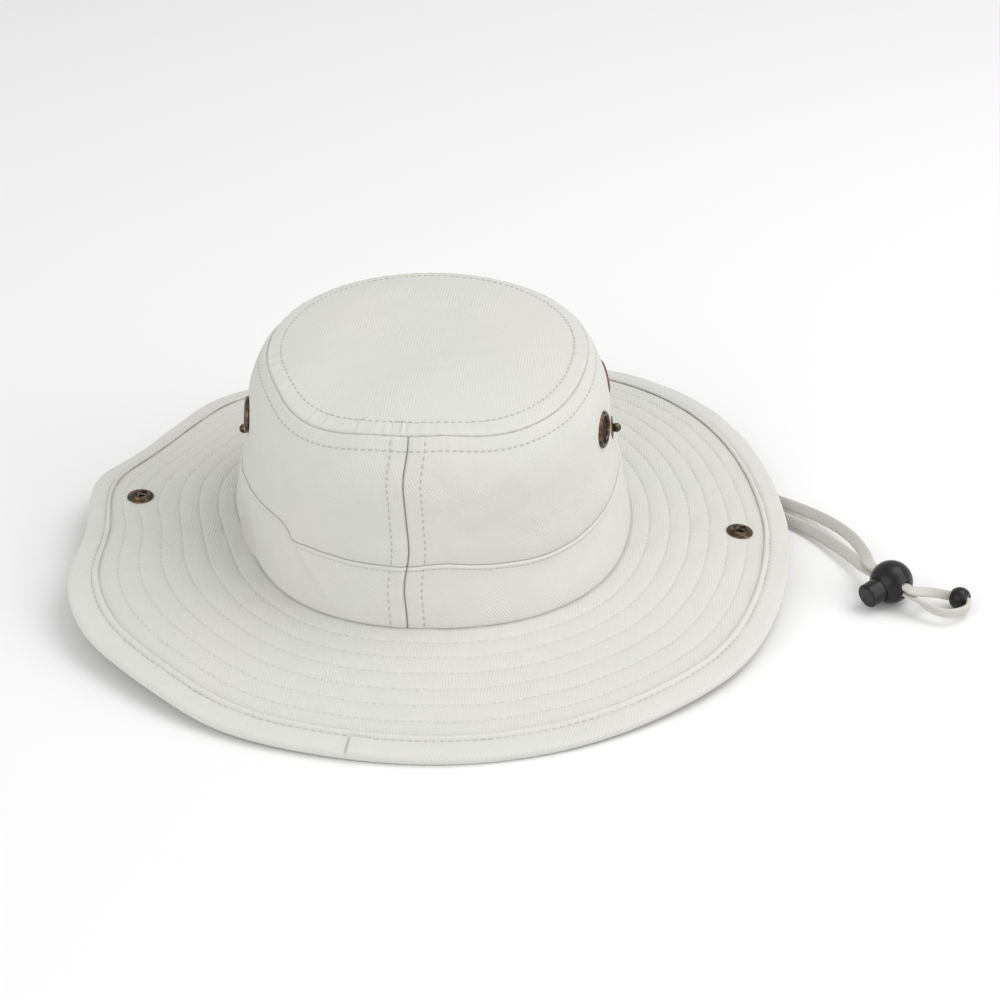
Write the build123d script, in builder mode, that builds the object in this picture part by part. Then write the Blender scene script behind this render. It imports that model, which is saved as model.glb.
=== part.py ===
from build123d import *
import os
from math import asin, atan2, cos, degrees, hypot, pi, radians, sin, sqrt, tan

# Boonie hat with a snap-up brim, mesh eyelets and a chin cord.
# Frame: +Z up, +X the wearer's side with the cord lock, -Y the front of the hat.
# The origin is on the floor, under the middle of the brim. All lengths in mm.

# ---- crown: half widths along X, half depths along Y, heights above the floor ----
BASE_HALF_WIDTH = 87.5
BASE_HALF_DEPTH = 97.5
BASE_HEIGHT = 20.0           # top of the brim where the crown is sewn on
BAND_HALF_WIDTH = 82.8
BAND_HALF_DEPTH = 92.6
BAND_WIDTH = 27.0            # height of the band between its two seams
SIDE_HEIGHT = 57.0           # height of the side panels, band seam to tip seam
BELLY_HALF_WIDTH = 79.8      # side panels part of the way up
BELLY_HALF_DEPTH = 88.0
BELLY_SHARE = 0.43           # share of the side height at which the belly is measured
SHOULDER_HALF_WIDTH = 75.2
SHOULDER_HALF_DEPTH = 81.5
SHOULDER_SHARE = 0.84
TIP_HALF_WIDTH = 70.0
TIP_HALF_DEPTH = 75.0
TIP_RISE = 5.6               # dome of the tip panel
CROWN_LEAN = -8.0            # shift of the tip along Y against the base
CLOTH = 0.8                  # thickness of one layer of twill
SEAM_GAP = 0.1               # air between two cloth pieces that are sewn together

# ---- sweatband ----
SWEATBAND_WIDTH = 32.0
SWEATBAND_THICKNESS = 1.2
SWEATBAND_GAP = 0.3

# ---- brim ----
BRIM_REACH = 75.0            # horizontal reach from the base seam to the rim
BRIM_TUCK = 1.6              # how far the brim runs under the band
UPPER_LAYER = 0.7
INTERLINING = 0.8
LOWER_LAYER = 0.7
RIM_RISE_RIGHT = 9.0         # how far the rim curls up at each side
RIM_RISE_LEFT = 18.0
BRIM_SECTIONS = 12           # loft spans in each half of the brim
BINDING_WIDTH = 11.5
BINDING_CLOTH = 0.8

# ---- folding flaps ----
HINGE_OFFSET = 5.5           # fold line out from the base seam, beside the ear
HINGE_LIFT = 0.3             # fold axis above the base seam
HINGE_GAP = 0.3

# ---- snaps ----
SOCKET_OFFSET = {"left": 45.0, "right": 51.5}   # socket centre out from the base seam
SNAP_Y = {"left": -6.0, "right": -3.0}
SNAP_DIAMETER = 12.0
SNAP_TUBE = 5.0              # tube that clinches through the cloth
SOCKET_HEIGHT = 1.9
SOCKET_BORE = 5.6
SPRING_WIRE = 0.35
STUD_FLANGE = 10.6
STUD_FLANGE_THICKNESS = 1.1
STUD_BALL = 4.2
STUD_NECK = 3.2
STUD_REACH = 4.4             # ball top above the cloth
SNAP_CLEARANCE = 0.4         # air between the closed socket and the stud flange

# ---- mesh eyelets ----
EYELET_DIAMETER = 17.6
EYELET_BORE = 12.4
EYELET_HEIGHT = 1.7
EYELET_BARREL_WALL = 0.5
EYELET_SPACING = 48.0
EYELET_ABOVE_BASE = 56.0
WASHER_THICKNESS = 0.5
MESH_THICKNESS = 0.4
CURVE_ROOM = 0.6             # room for the curve of the wall under a flat washer

# ---- chin cord: the tube has the same section as the flat cord, 4.5 x 1.8 ----
CORD_TUBE = 3.2
STRAND_PITCH = 3.8           # between the two strands inside the lock
CORD_LEFT_HALF = [           # from under the sweatband, left, to the lock
    (-83.0, -4.0, 19.4), (-79.0, -5.0, 11.0), (-69.0, -8.0, 4.2), (-50.0, -14.0, 2.4),
    (-22.0, -21.0, 2.4), (14.0, -22.0, 2.4), (50.0, -12.0, 2.4), (86.0, 2.0, 2.4),
    (120.0, 14.0, 2.4), (148.0, 22.0, 2.4), (171.0, 18.0, 2.6), (186.0, 3.0, 4.4)]
CORD_LOOP = [                # beyond the lock, through the bead and back
    (227.5, -50.0, 5.6), (238.5, -45.0, 5.3), (240.0, -36.8, 5.2),
    (232.0, -33.2, 5.2), (224.0, -36.0, 8.4)]
CORD_RIGHT_HALF = [          # from the lock back under the sweatband, right
    (193.0, 8.0, 5.6), (184.0, 27.0, 2.9), (162.0, 41.0, 2.4), (132.0, 52.0, 2.4),
    (98.0, 60.0, 2.4), (62.0, 62.0, 2.4), (30.0, 55.0, 2.4), (8.0, 38.0, 2.4),
    (16.0, 18.0, 2.4), (40.0, 10.0, 2.4), (62.0, 9.0, 3.4), (75.0, 8.0, 9.0),
    (82.0, 7.0, 19.4)]

# ---- cord lock ----
LOCK_CENTRE = (206.0, -31.0, 9.7)
LOCK_HEADING = -48.0         # degrees, way of the cord through the lock, from +X
LOCK_DIP = 9.0               # degrees, the button points this far below level
LOCK_DIAMETER = 19.0
LOCK_ENTRY = 22.0            # straight cord before the lock's centre
LOCK_EXIT = 14.0             # and after it
CORD_WAY_WIDTH = 4.2         # passage through the lock, across the button's axis
CORD_WAY_HEIGHT = 8.2
PLUNGER_DIAMETER = 10.8
PLUNGER_REACH = 15.2         # outer face of the button from the lock's centre
PLUNGER_TRAVEL = 2.4
PLUNGER_SIDE_GAP = 0.3
PLUNGER_WALL = 2.0           # plunger behind its cord window
PLUNGER_END_GAP = 0.3        # between the pressed plunger and the floor of its bore
SPRING_POCKET_DEPTH = 1.5    # narrower pocket in the floor of the bore
SPRING_POCKET_DIAMETER = 7.6
SPRING_DIAMETER = 7.0
LOCK_SPRING_WIRE = 0.4
LOCK_SPRING_TURNS = 2.0

# ---- bead ----
BEAD_CENTRE = (236.0, -35.0, 5.2)
BEAD_DIAMETER = 10.0
BEAD_LENGTH = 7.6
BEAD_BORE = 4.8
BEAD_HEADING = 155.8         # degrees, way of the cord through the bead, from +X

SIDES = {"left": -1, "right": 1}
BAND_SEAM = BASE_HEIGHT + BAND_WIDTH
TIP_SEAM = BAND_SEAM + SIDE_HEIGHT
BRIM_THICKNESS = UPPER_LAYER + INTERLINING + LOWER_LAYER + 2 * SEAM_GAP
RIM_TOP = BRIM_THICKNESS + BINDING_CLOTH + SEAM_GAP
HINGE_X = BASE_HALF_WIDTH + HINGE_OFFSET
HINGE_Z = BASE_HEIGHT + HINGE_LIFT

os.makedirs("parts", exist_ok=True)


def rounded(vector):
    """A vector's three numbers, short enough to print."""
    return [round(value, 4) for value in vector]


def save(part, name):
    """Label a finished piece and write it to its own file."""
    part.label = name
    export_step(part, f"parts/{name}.step")


# ---------------------------------------------------------------- crown

def oval_loft(levels, inset, ruled=False):
    """Solid through ovals, each level being (half width, half depth, height)."""
    with BuildPart() as body:
        for half_width, half_depth, height in levels:
            lean = CROWN_LEAN * (height - BASE_HEIGHT) / (TIP_SEAM - BASE_HEIGHT)
            with BuildSketch(Plane.XY.offset(height)):
                with Locations((0, lean)):
                    Ellipse(half_width - inset, half_depth - inset)
        loft(ruled=ruled)
    return body.part


def oval_shell(levels, wall, inset=0.0, ruled=False):
    """Open sleeve of one wall thickness through the same ovals."""
    with BuildPart() as sleeve:
        add(oval_loft(levels, inset, ruled))
        add(oval_loft(levels, inset + wall, ruled), mode=Mode.SUBTRACT)
    return sleeve.part


def half_of(body, side):
    """The half of a body on one side of the centre seam."""
    with BuildPart() as half:
        add(body)
        split(bisect_by=Plane.YZ.offset(SIDES[side] * SEAM_GAP / 2),
              keep=Keep.TOP if side == "right" else Keep.BOTTOM)
    return half.part


BAND_LEVELS = [
    (BASE_HALF_WIDTH, BASE_HALF_DEPTH, BASE_HEIGHT + SEAM_GAP),
    (BAND_HALF_WIDTH, BAND_HALF_DEPTH, BAND_SEAM - SEAM_GAP / 2)]
SIDE_LEVELS = [
    (BAND_HALF_WIDTH, BAND_HALF_DEPTH, BAND_SEAM + SEAM_GAP / 2),
    (BELLY_HALF_WIDTH, BELLY_HALF_DEPTH, BAND_SEAM + BELLY_SHARE * SIDE_HEIGHT),
    (SHOULDER_HALF_WIDTH, SHOULDER_HALF_DEPTH, BAND_SEAM + SHOULDER_SHARE * SIDE_HEIGHT),
    (TIP_HALF_WIDTH, TIP_HALF_DEPTH, TIP_SEAM)]
BAND_SLEEVE = oval_shell(BAND_LEVELS, CLOTH)
SIDE_SLEEVE = oval_shell(SIDE_LEVELS, CLOTH)


def wall_plane(side, y, height):
    """Plane on the outside of the crown's side wall, facing outwards."""
    ray = Axis((0, y, height), (SIDES[side], 0, 0))
    hits = SIDE_SLEEVE.find_intersection_points(ray)
    point, normal = max(hits, key=lambda hit: hit[0].X * SIDES[side])
    if normal.X * SIDES[side] < 0:
        normal = -normal
    return Plane(origin=point, x_dir=(0, 1, 0), z_dir=normal)


def eyelet_planes(side):
    """Front and rear eyelet of one side."""
    height = BASE_HEIGHT + EYELET_ABOVE_BASE
    return {end: wall_plane(side, sign * EYELET_SPACING / 2, height)
            for end, sign in (("front", -1), ("rear", 1))}


def crown_side(side):
    """Side panel with its eyelet holes and the hole for the stud's tube."""
    with BuildPart() as panel:
        add(half_of(SIDE_SLEEVE, side))
        hole = EYELET_BORE + 2 * EYELET_BARREL_WALL + 2 * SEAM_GAP
        for plane in eyelet_planes(side).values():
            with BuildSketch(plane):
                Circle(hole / 2)
            extrude(amount=CLOTH * 3, both=True, mode=Mode.SUBTRACT)
        with BuildSketch(stud_plane(side)):
            Circle(STUD_NECK / 2 + SEAM_GAP)
        extrude(amount=CLOTH * 3, both=True, mode=Mode.SUBTRACT)
    return panel.part


def crown_tip():
    """Shallow dome of one cloth layer that closes the crown."""
    levels = [
        (TIP_HALF_WIDTH, TIP_HALF_DEPTH, 0.0),
        (TIP_HALF_WIDTH * 0.88, TIP_HALF_DEPTH * 0.88, TIP_RISE * 0.45),
        (TIP_HALF_WIDTH * 0.55, TIP_HALF_DEPTH * 0.55, TIP_RISE * 0.86),
        (TIP_HALF_WIDTH * 0.15, TIP_HALF_DEPTH * 0.15, TIP_RISE)]
    with BuildPart() as dome:
        for half_width, half_depth, rise in levels:
            with BuildSketch(Plane.XY.offset(TIP_SEAM + SEAM_GAP + rise)):
                with Locations((0, CROWN_LEAN)):
                    Ellipse(half_width, half_depth)
        loft()
    with BuildPart() as tip:
        add(dome.part)
        with Locations((0, 0, -CLOTH)):
            add(dome.part, mode=Mode.SUBTRACT)
    return tip.part


def sweatband():
    """Soft strip that lines the band and the foot of the side panels."""
    inset = CLOTH + SWEATBAND_GAP
    seam = (BAND_HALF_WIDTH, BAND_HALF_DEPTH, BAND_SEAM)
    rise = SWEATBAND_WIDTH - BAND_WIDTH
    share = rise / (BELLY_SHARE * SIDE_HEIGHT)
    top = (BAND_HALF_WIDTH + share * (BELLY_HALF_WIDTH - BAND_HALF_WIDTH) - SWEATBAND_GAP,
           BAND_HALF_DEPTH + share * (BELLY_HALF_DEPTH - BAND_HALF_DEPTH) - SWEATBAND_GAP,
           BAND_SEAM + rise)
    levels = [(BASE_HALF_WIDTH, BASE_HALF_DEPTH, BASE_HEIGHT + SEAM_GAP), seam, top]
    return oval_shell(levels, SWEATBAND_THICKNESS, inset, ruled=True)


# ---------------------------------------------------------------- brim

def rim_top(turn):
    """Height of the brim's upper face at the rim, at an angle round the hat."""
    across = cos(radians(turn))
    rise = RIM_RISE_RIGHT if across > 0 else RIM_RISE_LEFT
    return RIM_TOP + rise * across ** 2


def brim_plane(turn):
    """Upright plane across the brim: its X runs outwards and its Y runs up."""
    across, along = cos(radians(turn)), sin(radians(turn))
    outward = Vector(across / BASE_HALF_WIDTH, along / BASE_HALF_DEPTH, 0).normalized()
    origin = (BASE_HALF_WIDTH * across, BASE_HALF_DEPTH * along, 0)
    return Plane(origin=origin, x_dir=outward, z_dir=outward.cross(Vector(0, 0, 1)))


def brim_height(turn, reach):
    """Height of the brim's upper face at a reach out from the base seam."""
    return BASE_HEIGHT + (rim_top(turn) - BASE_HEIGHT) * max(reach, 0.0) / BRIM_REACH


def layer_outline(turn, depth, thickness):
    """Corners of one layer's section, depth being below the upper face."""
    stations = (-BRIM_TUCK, 0.0, BRIM_REACH)
    tops = [(reach, brim_height(turn, reach) - depth) for reach in stations]
    return tops + [(reach, top - thickness) for reach, top in reversed(tops)]


def binding_outline(turn):
    """U-shaped section of the binding that folds over the rim."""
    inner_reach = BRIM_REACH - BINDING_WIDTH
    over, under = SEAM_GAP, BRIM_THICKNESS + SEAM_GAP
    at_rim, at_edge = brim_height(turn, BRIM_REACH), brim_height(turn, inner_reach)
    rim, fold = BRIM_REACH + SEAM_GAP, BRIM_REACH + SEAM_GAP + BINDING_CLOTH
    return [(inner_reach, at_edge + over), (inner_reach, at_edge + over + BINDING_CLOTH),
            (fold, at_rim + over + BINDING_CLOTH), (fold, at_rim - under - BINDING_CLOTH),
            (inner_reach, at_edge - under - BINDING_CLOTH), (inner_reach, at_edge - under),
            (rim, at_rim - under), (rim, at_rim + over)]


def brim_half(side, outline):
    """Loft of a section round one half of the brim, from front to back."""
    first = -90.0 if side == "right" else 90.0
    with BuildPart() as body:
        for span in range(BRIM_SECTIONS + 1):
            turn = first + span * 180.0 / BRIM_SECTIONS
            with BuildSketch(brim_plane(turn)):
                with BuildLine():
                    Polyline(*outline(turn), close=True)
                make_face()
        loft()
    return body.part


def outside_fold(body, side):
    """The part of a brim half that lies beyond its fold line."""
    with BuildPart() as flap:
        add(body)
        split(bisect_by=Plane.YZ.offset(SIDES[side] * (HINGE_X + HINGE_GAP / 2)),
              keep=Keep.TOP if side == "right" else Keep.BOTTOM)
    return flap.part


def between_folds(halves):
    """The middle of the brim, joined across the front and the back."""
    with BuildPart() as middle:
        for side, body in halves.items():
            add(body)
        for side, sign in SIDES.items():
            split(bisect_by=Plane.YZ.offset(sign * (HINGE_X - HINGE_GAP / 2)),
                  keep=Keep.BOTTOM if side == "right" else Keep.TOP)
    return middle.part


def socket_turn(side):
    """Angle round the hat of the brim section that carries the socket."""
    reach_y = BASE_HALF_DEPTH + SOCKET_OFFSET[side]
    turn = degrees(asin(SNAP_Y[side] / reach_y))
    return turn if side == "right" else 180.0 - turn


def socket_plane(side):
    """Plane on the brim's upper face, at the socket, facing away from the brim."""
    turn, sign = socket_turn(side), SIDES[side]
    drop = (BASE_HEIGHT - rim_top(turn)) / BRIM_REACH
    x = sign * (BASE_HALF_WIDTH + SOCKET_OFFSET[side])
    point = (x, SNAP_Y[side], BASE_HEIGHT - drop * SOCKET_OFFSET[side])
    return Plane(origin=point, x_dir=(0, 1, 0), z_dir=Vector(sign * drop, 0, 1))


def pierced(body, side, radius):
    """A flap layer with the hole for its snap's tube."""
    with BuildPart() as layer:
        add(body)
        with BuildSketch(socket_plane(side)):
            Circle(radius)
        extrude(amount=BRIM_THICKNESS * 2, both=True, mode=Mode.SUBTRACT)
    return layer.part


def stud_plane(side):
    """Plane on the crown wall where the folded flap brings its socket."""
    sign, socket = SIDES[side], socket_plane(side)
    arm = hypot(abs(socket.origin.X) - HINGE_X, socket.origin.Z - HINGE_Z)
    standoff = STUD_FLANGE_THICKNESS + SNAP_CLEARANCE + SOCKET_HEIGHT
    height = HINGE_Z + arm
    for _ in range(4):
        wall = wall_plane(side, SNAP_Y[side], height)
        inward = HINGE_X - (abs(wall.origin.X) + standoff * abs(wall.z_dir.X))
        height = HINGE_Z + sqrt(arm ** 2 - inward ** 2) - standoff * wall.z_dir.Z
    return wall_plane(side, SNAP_Y[side], height)


def fold_angle(side):
    """Turn of the flap that brings its socket onto the stud, in degrees."""
    socket, stud = socket_plane(side), stud_plane(side)
    standoff = STUD_FLANGE_THICKNESS + SNAP_CLEARANCE + SOCKET_HEIGHT
    closed = stud.origin + stud.z_dir * standoff
    start = atan2(socket.origin.Z - HINGE_Z, abs(socket.origin.X) - HINGE_X)
    end = atan2(closed.Z - HINGE_Z, abs(closed.X) - HINGE_X)
    return degrees(end - start)


# ---------------------------------------------------------------- snaps and eyelets

def placed(part, plane):
    """A copy of a turned piece, stood on a plane."""
    with BuildPart() as copy:
        with Locations(plane.location):
            add(part)
    return copy.part


def turned(points):
    """Solid of revolution about Z from an outline of (radius, height) points."""
    with BuildPart() as body:
        with BuildSketch(Plane.XZ):
            with BuildLine():
                Polyline(*points, close=True)
            make_face()
        revolve(axis=Axis.Z)
    return body.part


def snap_socket():
    """Domed socket ring with a flange, open in the middle for the stud."""
    radius, bore = SNAP_DIAMETER / 2, SOCKET_BORE / 2
    return turned([
        (radius, SEAM_GAP), (radius, 0.55), (radius - 0.35, 0.85), (radius - 1.5, 1.0),
        (bore + 1.3, SOCKET_HEIGHT - 0.15), (bore + 0.7, SOCKET_HEIGHT),
        (bore, SOCKET_HEIGHT - 0.4), (bore, SEAM_GAP)])


def snap_spring():
    """Split ring of wire that grips the stud, inside the socket."""
    ring_radius = SOCKET_BORE / 2 - SPRING_WIRE / 2 - 0.05
    with BuildPart() as spring:
        with BuildSketch(Plane.XZ):
            with Locations((ring_radius, 0.9)):
                Circle(SPRING_WIRE / 2)
        revolve(axis=Axis.Z, revolution_arc=320)
    return spring.part


def snap_cap():
    """Cap under the brim, with the tube that clinches into the socket."""
    depth = BRIM_THICKNESS + 2 * SEAM_GAP
    radius, tube = SNAP_DIAMETER / 2, SNAP_TUBE / 2
    return turned([
        (0, -depth - 1.5), (radius - 2.0, -depth - 1.35), (radius - 0.4, -depth - 0.8),
        (radius, -depth - 0.35), (radius, -depth), (tube, -depth), (tube, -SEAM_GAP),
        (tube - 0.5, -SEAM_GAP), (tube - 0.5, -depth - 0.4), (0, -depth - 0.4)])


def snap_stud():
    """Flanged stud with a ball head, on the outside of the crown."""
    flange, neck, ball = STUD_FLANGE / 2, STUD_NECK / 2, STUD_BALL / 2
    with BuildPart() as stud:
        add(turned([
            (0, SEAM_GAP), (flange, SEAM_GAP), (flange, 0.5), (flange - 0.5, 0.8),
            (ball + 0.8, STUD_FLANGE_THICKNESS), (neck, STUD_FLANGE_THICKNESS),
            (neck, STUD_REACH - ball), (0, STUD_REACH - ball)]))
        with Locations((0, 0, STUD_REACH - ball)):
            Sphere(ball)
    return stud.part


def snap_post():
    """Washer and tube inside the crown that the stud is clinched to."""
    back, radius = -CLOTH - CURVE_ROOM / 2, STUD_FLANGE / 2 - 0.6
    neck = STUD_NECK / 2
    return turned([
        (0, back - 0.7), (radius, back - 0.7), (radius, back), (neck, back), (neck, 0), (0, 0)])


def eyelet_ring():
    """Rolled outer ring with the barrel that passes through the cloth."""
    radius, bore = EYELET_DIAMETER / 2, EYELET_BORE / 2
    barrel, back = bore + EYELET_BARREL_WALL, -CLOTH - CURVE_ROOM - WASHER_THICKNESS
    return turned([
        (bore, back), (barrel, back), (barrel, SEAM_GAP), (radius, SEAM_GAP),
        (radius, 0.7), (radius - 0.5, EYELET_HEIGHT - 0.35), (radius - 1.2, EYELET_HEIGHT),
        (bore + 0.9, EYELET_HEIGHT - 0.3), (bore, EYELET_HEIGHT - 0.9)])


def eyelet_washer():
    """Flat washer inside the crown that the barrel is set against."""
    radius = EYELET_DIAMETER / 2 - 0.4
    inner = EYELET_BORE / 2 + EYELET_BARREL_WALL + SEAM_GAP
    front = -CLOTH - CURVE_ROOM
    back = front - WASHER_THICKNESS
    return turned([(inner, back), (radius, back), (radius, front), (inner, front)])


def eyelet_mesh():
    """Disc of woven mesh held inside the barrel."""
    radius = EYELET_BORE / 2 - SEAM_GAP / 2
    return turned([(0, -MESH_THICKNESS), (radius, -MESH_THICKNESS), (radius, 0), (0, 0)])


# ---------------------------------------------------------------- cord lock, cord, bead

LOCK_ALONG = Vector(cos(radians(LOCK_HEADING)), sin(radians(LOCK_HEADING)), 0)
LOCK_SIDE = Vector(LOCK_ALONG.Y, -LOCK_ALONG.X, 0)
LOCK_BUTTON = (LOCK_SIDE * cos(radians(LOCK_DIP)) - Vector(0, 0, sin(radians(LOCK_DIP))))
LOCK_PLANE = Plane(origin=LOCK_CENTRE, x_dir=LOCK_ALONG, z_dir=LOCK_BUTTON)
STRAND_LIFT = LOCK_PLANE.y_dir * (STRAND_PITCH / 2)


PLUNGER_END = -CORD_WAY_WIDTH / 2 - PLUNGER_WALL
BORE_FLOOR = PLUNGER_END - PLUNGER_TRAVEL - PLUNGER_END_GAP
POCKET_FLOOR = BORE_FLOOR - SPRING_POCKET_DEPTH


def lock_body():
    """Ball with a blind bore for the plunger and a way through for both strands."""
    bores = ((BORE_FLOOR, PLUNGER_DIAMETER / 2 + PLUNGER_SIDE_GAP),
             (POCKET_FLOOR, SPRING_POCKET_DIAMETER / 2))
    with BuildPart() as body:
        Sphere(LOCK_DIAMETER / 2)
        for floor, radius in bores:
            with BuildSketch(Plane.XY.offset(floor)):
                Circle(radius)
            extrude(amount=LOCK_DIAMETER, mode=Mode.SUBTRACT)
        with BuildSketch(Plane.YZ):
            RectangleRounded(CORD_WAY_HEIGHT, CORD_WAY_WIDTH, CORD_WAY_WIDTH * 0.35)
        extrude(amount=LOCK_DIAMETER, both=True, mode=Mode.SUBTRACT)
    return body.part


def lock_plunger():
    """Button and plunger, with a window that lets the strands pass."""
    window = CORD_WAY_WIDTH + PLUNGER_TRAVEL
    with BuildPart() as plunger:
        with BuildSketch(Plane.XY.offset(PLUNGER_END)):
            Circle(PLUNGER_DIAMETER / 2)
        extrude(amount=PLUNGER_REACH - PLUNGER_END)
        fillet(plunger.edges().group_by(Axis.Z)[-1], 1.1)
        with BuildSketch(Plane.YZ):
            with Locations((0, window / 2 - CORD_WAY_WIDTH / 2)):
                Rectangle(CORD_WAY_HEIGHT, window)
        extrude(amount=PLUNGER_DIAMETER, both=True, mode=Mode.SUBTRACT)
    return plunger.part


def lock_spring():
    """Coil spring in the pocket of the bore, drawn at its pressed height."""
    height = SPRING_POCKET_DEPTH - LOCK_SPRING_WIRE
    radius = (SPRING_DIAMETER - LOCK_SPRING_WIRE) / 2
    base = POCKET_FLOOR + LOCK_SPRING_WIRE / 2 + SEAM_GAP
    with BuildPart() as spring:
        with BuildLine():
            coil = Helix(height / LOCK_SPRING_TURNS, height, radius, center=(0, 0, base))
        with BuildSketch(Plane(origin=coil @ 0, z_dir=coil % 0)):
            Circle(LOCK_SPRING_WIRE / 2)
        sweep()
    return spring.part


def bead():
    """Rounded bead on the end of the loop."""
    half, bore = BEAD_LENGTH / 2, BEAD_BORE / 2
    with BuildPart() as body:
        Sphere(BEAD_DIAMETER / 2)
        with BuildSketch(Plane.XY.offset(half)):
            Circle(BEAD_DIAMETER)
        extrude(amount=BEAD_DIAMETER, mode=Mode.SUBTRACT)
        with BuildSketch(Plane.XY.offset(-half)):
            Circle(BEAD_DIAMETER)
        extrude(amount=-BEAD_DIAMETER, mode=Mode.SUBTRACT)
        with BuildSketch(Plane.XY.offset(-half)):
            Circle(bore)
        extrude(amount=BEAD_LENGTH, mode=Mode.SUBTRACT)
    return body.part


def lock_passage(sign):
    """The two ends of one strand's straight way through the lock."""
    centre = Vector(*LOCK_CENTRE) + STRAND_LIFT * sign
    return centre - LOCK_ALONG * LOCK_ENTRY, centre + LOCK_ALONG * LOCK_EXIT


def cord_route():
    """All points of the cord, from the left side to the right side."""
    lower_in, lower_out = lock_passage(-1)
    upper_in, upper_out = lock_passage(1)
    return ([Vector(*point) for point in CORD_LEFT_HALF] + [lower_in, lower_out]
            + [Vector(*point) for point in CORD_LOOP] + [upper_out, upper_in]
            + [Vector(*point) for point in CORD_RIGHT_HALF])


def corner_radii(route):
    """Largest radius that each corner's two runs allow."""
    radii = []
    for before, corner, after in zip(route, route[1:], route[2:]):
        arriving, leaving = corner - before, after - corner
        turn = radians(arriving.get_angle(leaving))
        radii.append(0.45 * min(arriving.length, leaving.length) / tan(turn / 2))
    return radii


def chin_cord():
    """Tube of straight runs and tangent arcs along the cord's route."""
    route = cord_route()
    radii = corner_radii(route)
    with BuildPart() as cord:
        with BuildLine():
            path = FilletPolyline(*route, radius=radii)
        with BuildSketch(Plane(origin=path @ 0, z_dir=path % 0)):
            Circle(CORD_TUBE / 2)
        sweep()
    section = pi * (CORD_TUBE / 2) ** 2
    print("cord length", round(path.length, 1), "volume ratio",
          round(cord.part.volume / (section * path.length), 4))
    print("cord radii", [round(radius, 1) for radius in radii])
    return cord.part


# ---------------------------------------------------------------- make every piece

def make_crown():
    """Tip, side panels, band and sweatband."""
    save(crown_tip(), "crown_tip")
    for side in SIDES:
        save(crown_side(side), f"crown_side_{side}")
        save(half_of(BAND_SLEEVE, side), f"crown_band_{side}")
    save(sweatband(), "sweatband")


def make_brim():
    """Three cloth layers and the binding, each in a middle and two flaps."""
    depth = 0.0
    tube_hole = SNAP_TUBE / 2 + SEAM_GAP
    layers = (("upper", UPPER_LAYER), ("interlining", INTERLINING), ("lower", LOWER_LAYER))
    for layer, thickness in layers:
        halves = {side: brim_half(side, lambda turn: layer_outline(turn, depth, thickness))
                  for side in SIDES}
        save(between_folds(halves), f"brim_{layer}")
        for side, body in halves.items():
            flap = pierced(outside_fold(body, side), side, tube_hole)
            save(flap, f"flap_{layer}_{side}")
        depth += thickness + SEAM_GAP
    halves = {side: brim_half(side, binding_outline) for side in SIDES}
    middle = between_folds(halves).solids().sort_by(Axis.Y)
    for end, body in (("front", middle[0]), ("rear", middle[-1])):
        with BuildPart() as strip:
            add(body)
        save(strip.part, f"binding_{end}")
    for side, body in halves.items():
        save(outside_fold(body, side), f"binding_{side}")


def make_hardware():
    """Mesh eyelets on the crown, and a snap on each side."""
    for side in SIDES:
        for end, plane in eyelet_planes(side).items():
            save(placed(eyelet_ring(), plane), f"eyelet_ring_{side}_{end}")
            save(placed(eyelet_washer(), plane), f"eyelet_washer_{side}_{end}")
            save(placed(eyelet_mesh(), plane), f"eyelet_mesh_{side}_{end}")
        on_brim, on_crown = socket_plane(side), stud_plane(side)
        save(placed(snap_socket(), on_brim), f"snap_socket_{side}")
        save(placed(snap_spring(), on_brim), f"snap_spring_{side}")
        save(placed(snap_cap(), on_brim), f"snap_cap_{side}")
        save(placed(snap_stud(), on_crown), f"snap_stud_{side}")
        save(placed(snap_post(), on_crown), f"snap_post_{side}")
        print(side, "stud", rounded(on_crown.origin), "axis", rounded(on_crown.z_dir),
              "socket", rounded(on_brim.origin), "axis", rounded(on_brim.z_dir),
              "fold", round(fold_angle(side), 2), "hinge", HINGE_X, HINGE_Z)


def make_cord():
    """Chin cord with its lock and bead."""
    save(chin_cord(), "chin_cord")
    save(placed(lock_body(), LOCK_PLANE), "cord_lock_body")
    save(placed(lock_plunger(), LOCK_PLANE), "cord_lock_plunger")
    save(placed(lock_spring(), LOCK_PLANE), "cord_lock_spring")
    heading = radians(BEAD_HEADING)
    bead_plane = Plane(origin=BEAD_CENTRE, z_dir=(cos(heading), sin(heading), 0))
    save(placed(bead(), bead_plane), "cord_bead")
    print("button axis", rounded(LOCK_BUTTON), "cord axis", rounded(LOCK_ALONG))


make_crown()
make_brim()
make_hardware()
make_cord()
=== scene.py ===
"""Looks of a boonie hat: twill crown and quilted brim, mesh eyelets, snaps and a chin cord.

Everything is in metres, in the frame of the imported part: +Z up, -Y the front of the hat, +X the
side where the chin cord and its ball lock lie.
"""

import itertools
import logging
import math
from dataclasses import dataclass, field
from enum import Enum
from typing import Any, Callable, Iterable, Optional, Sequence

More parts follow.
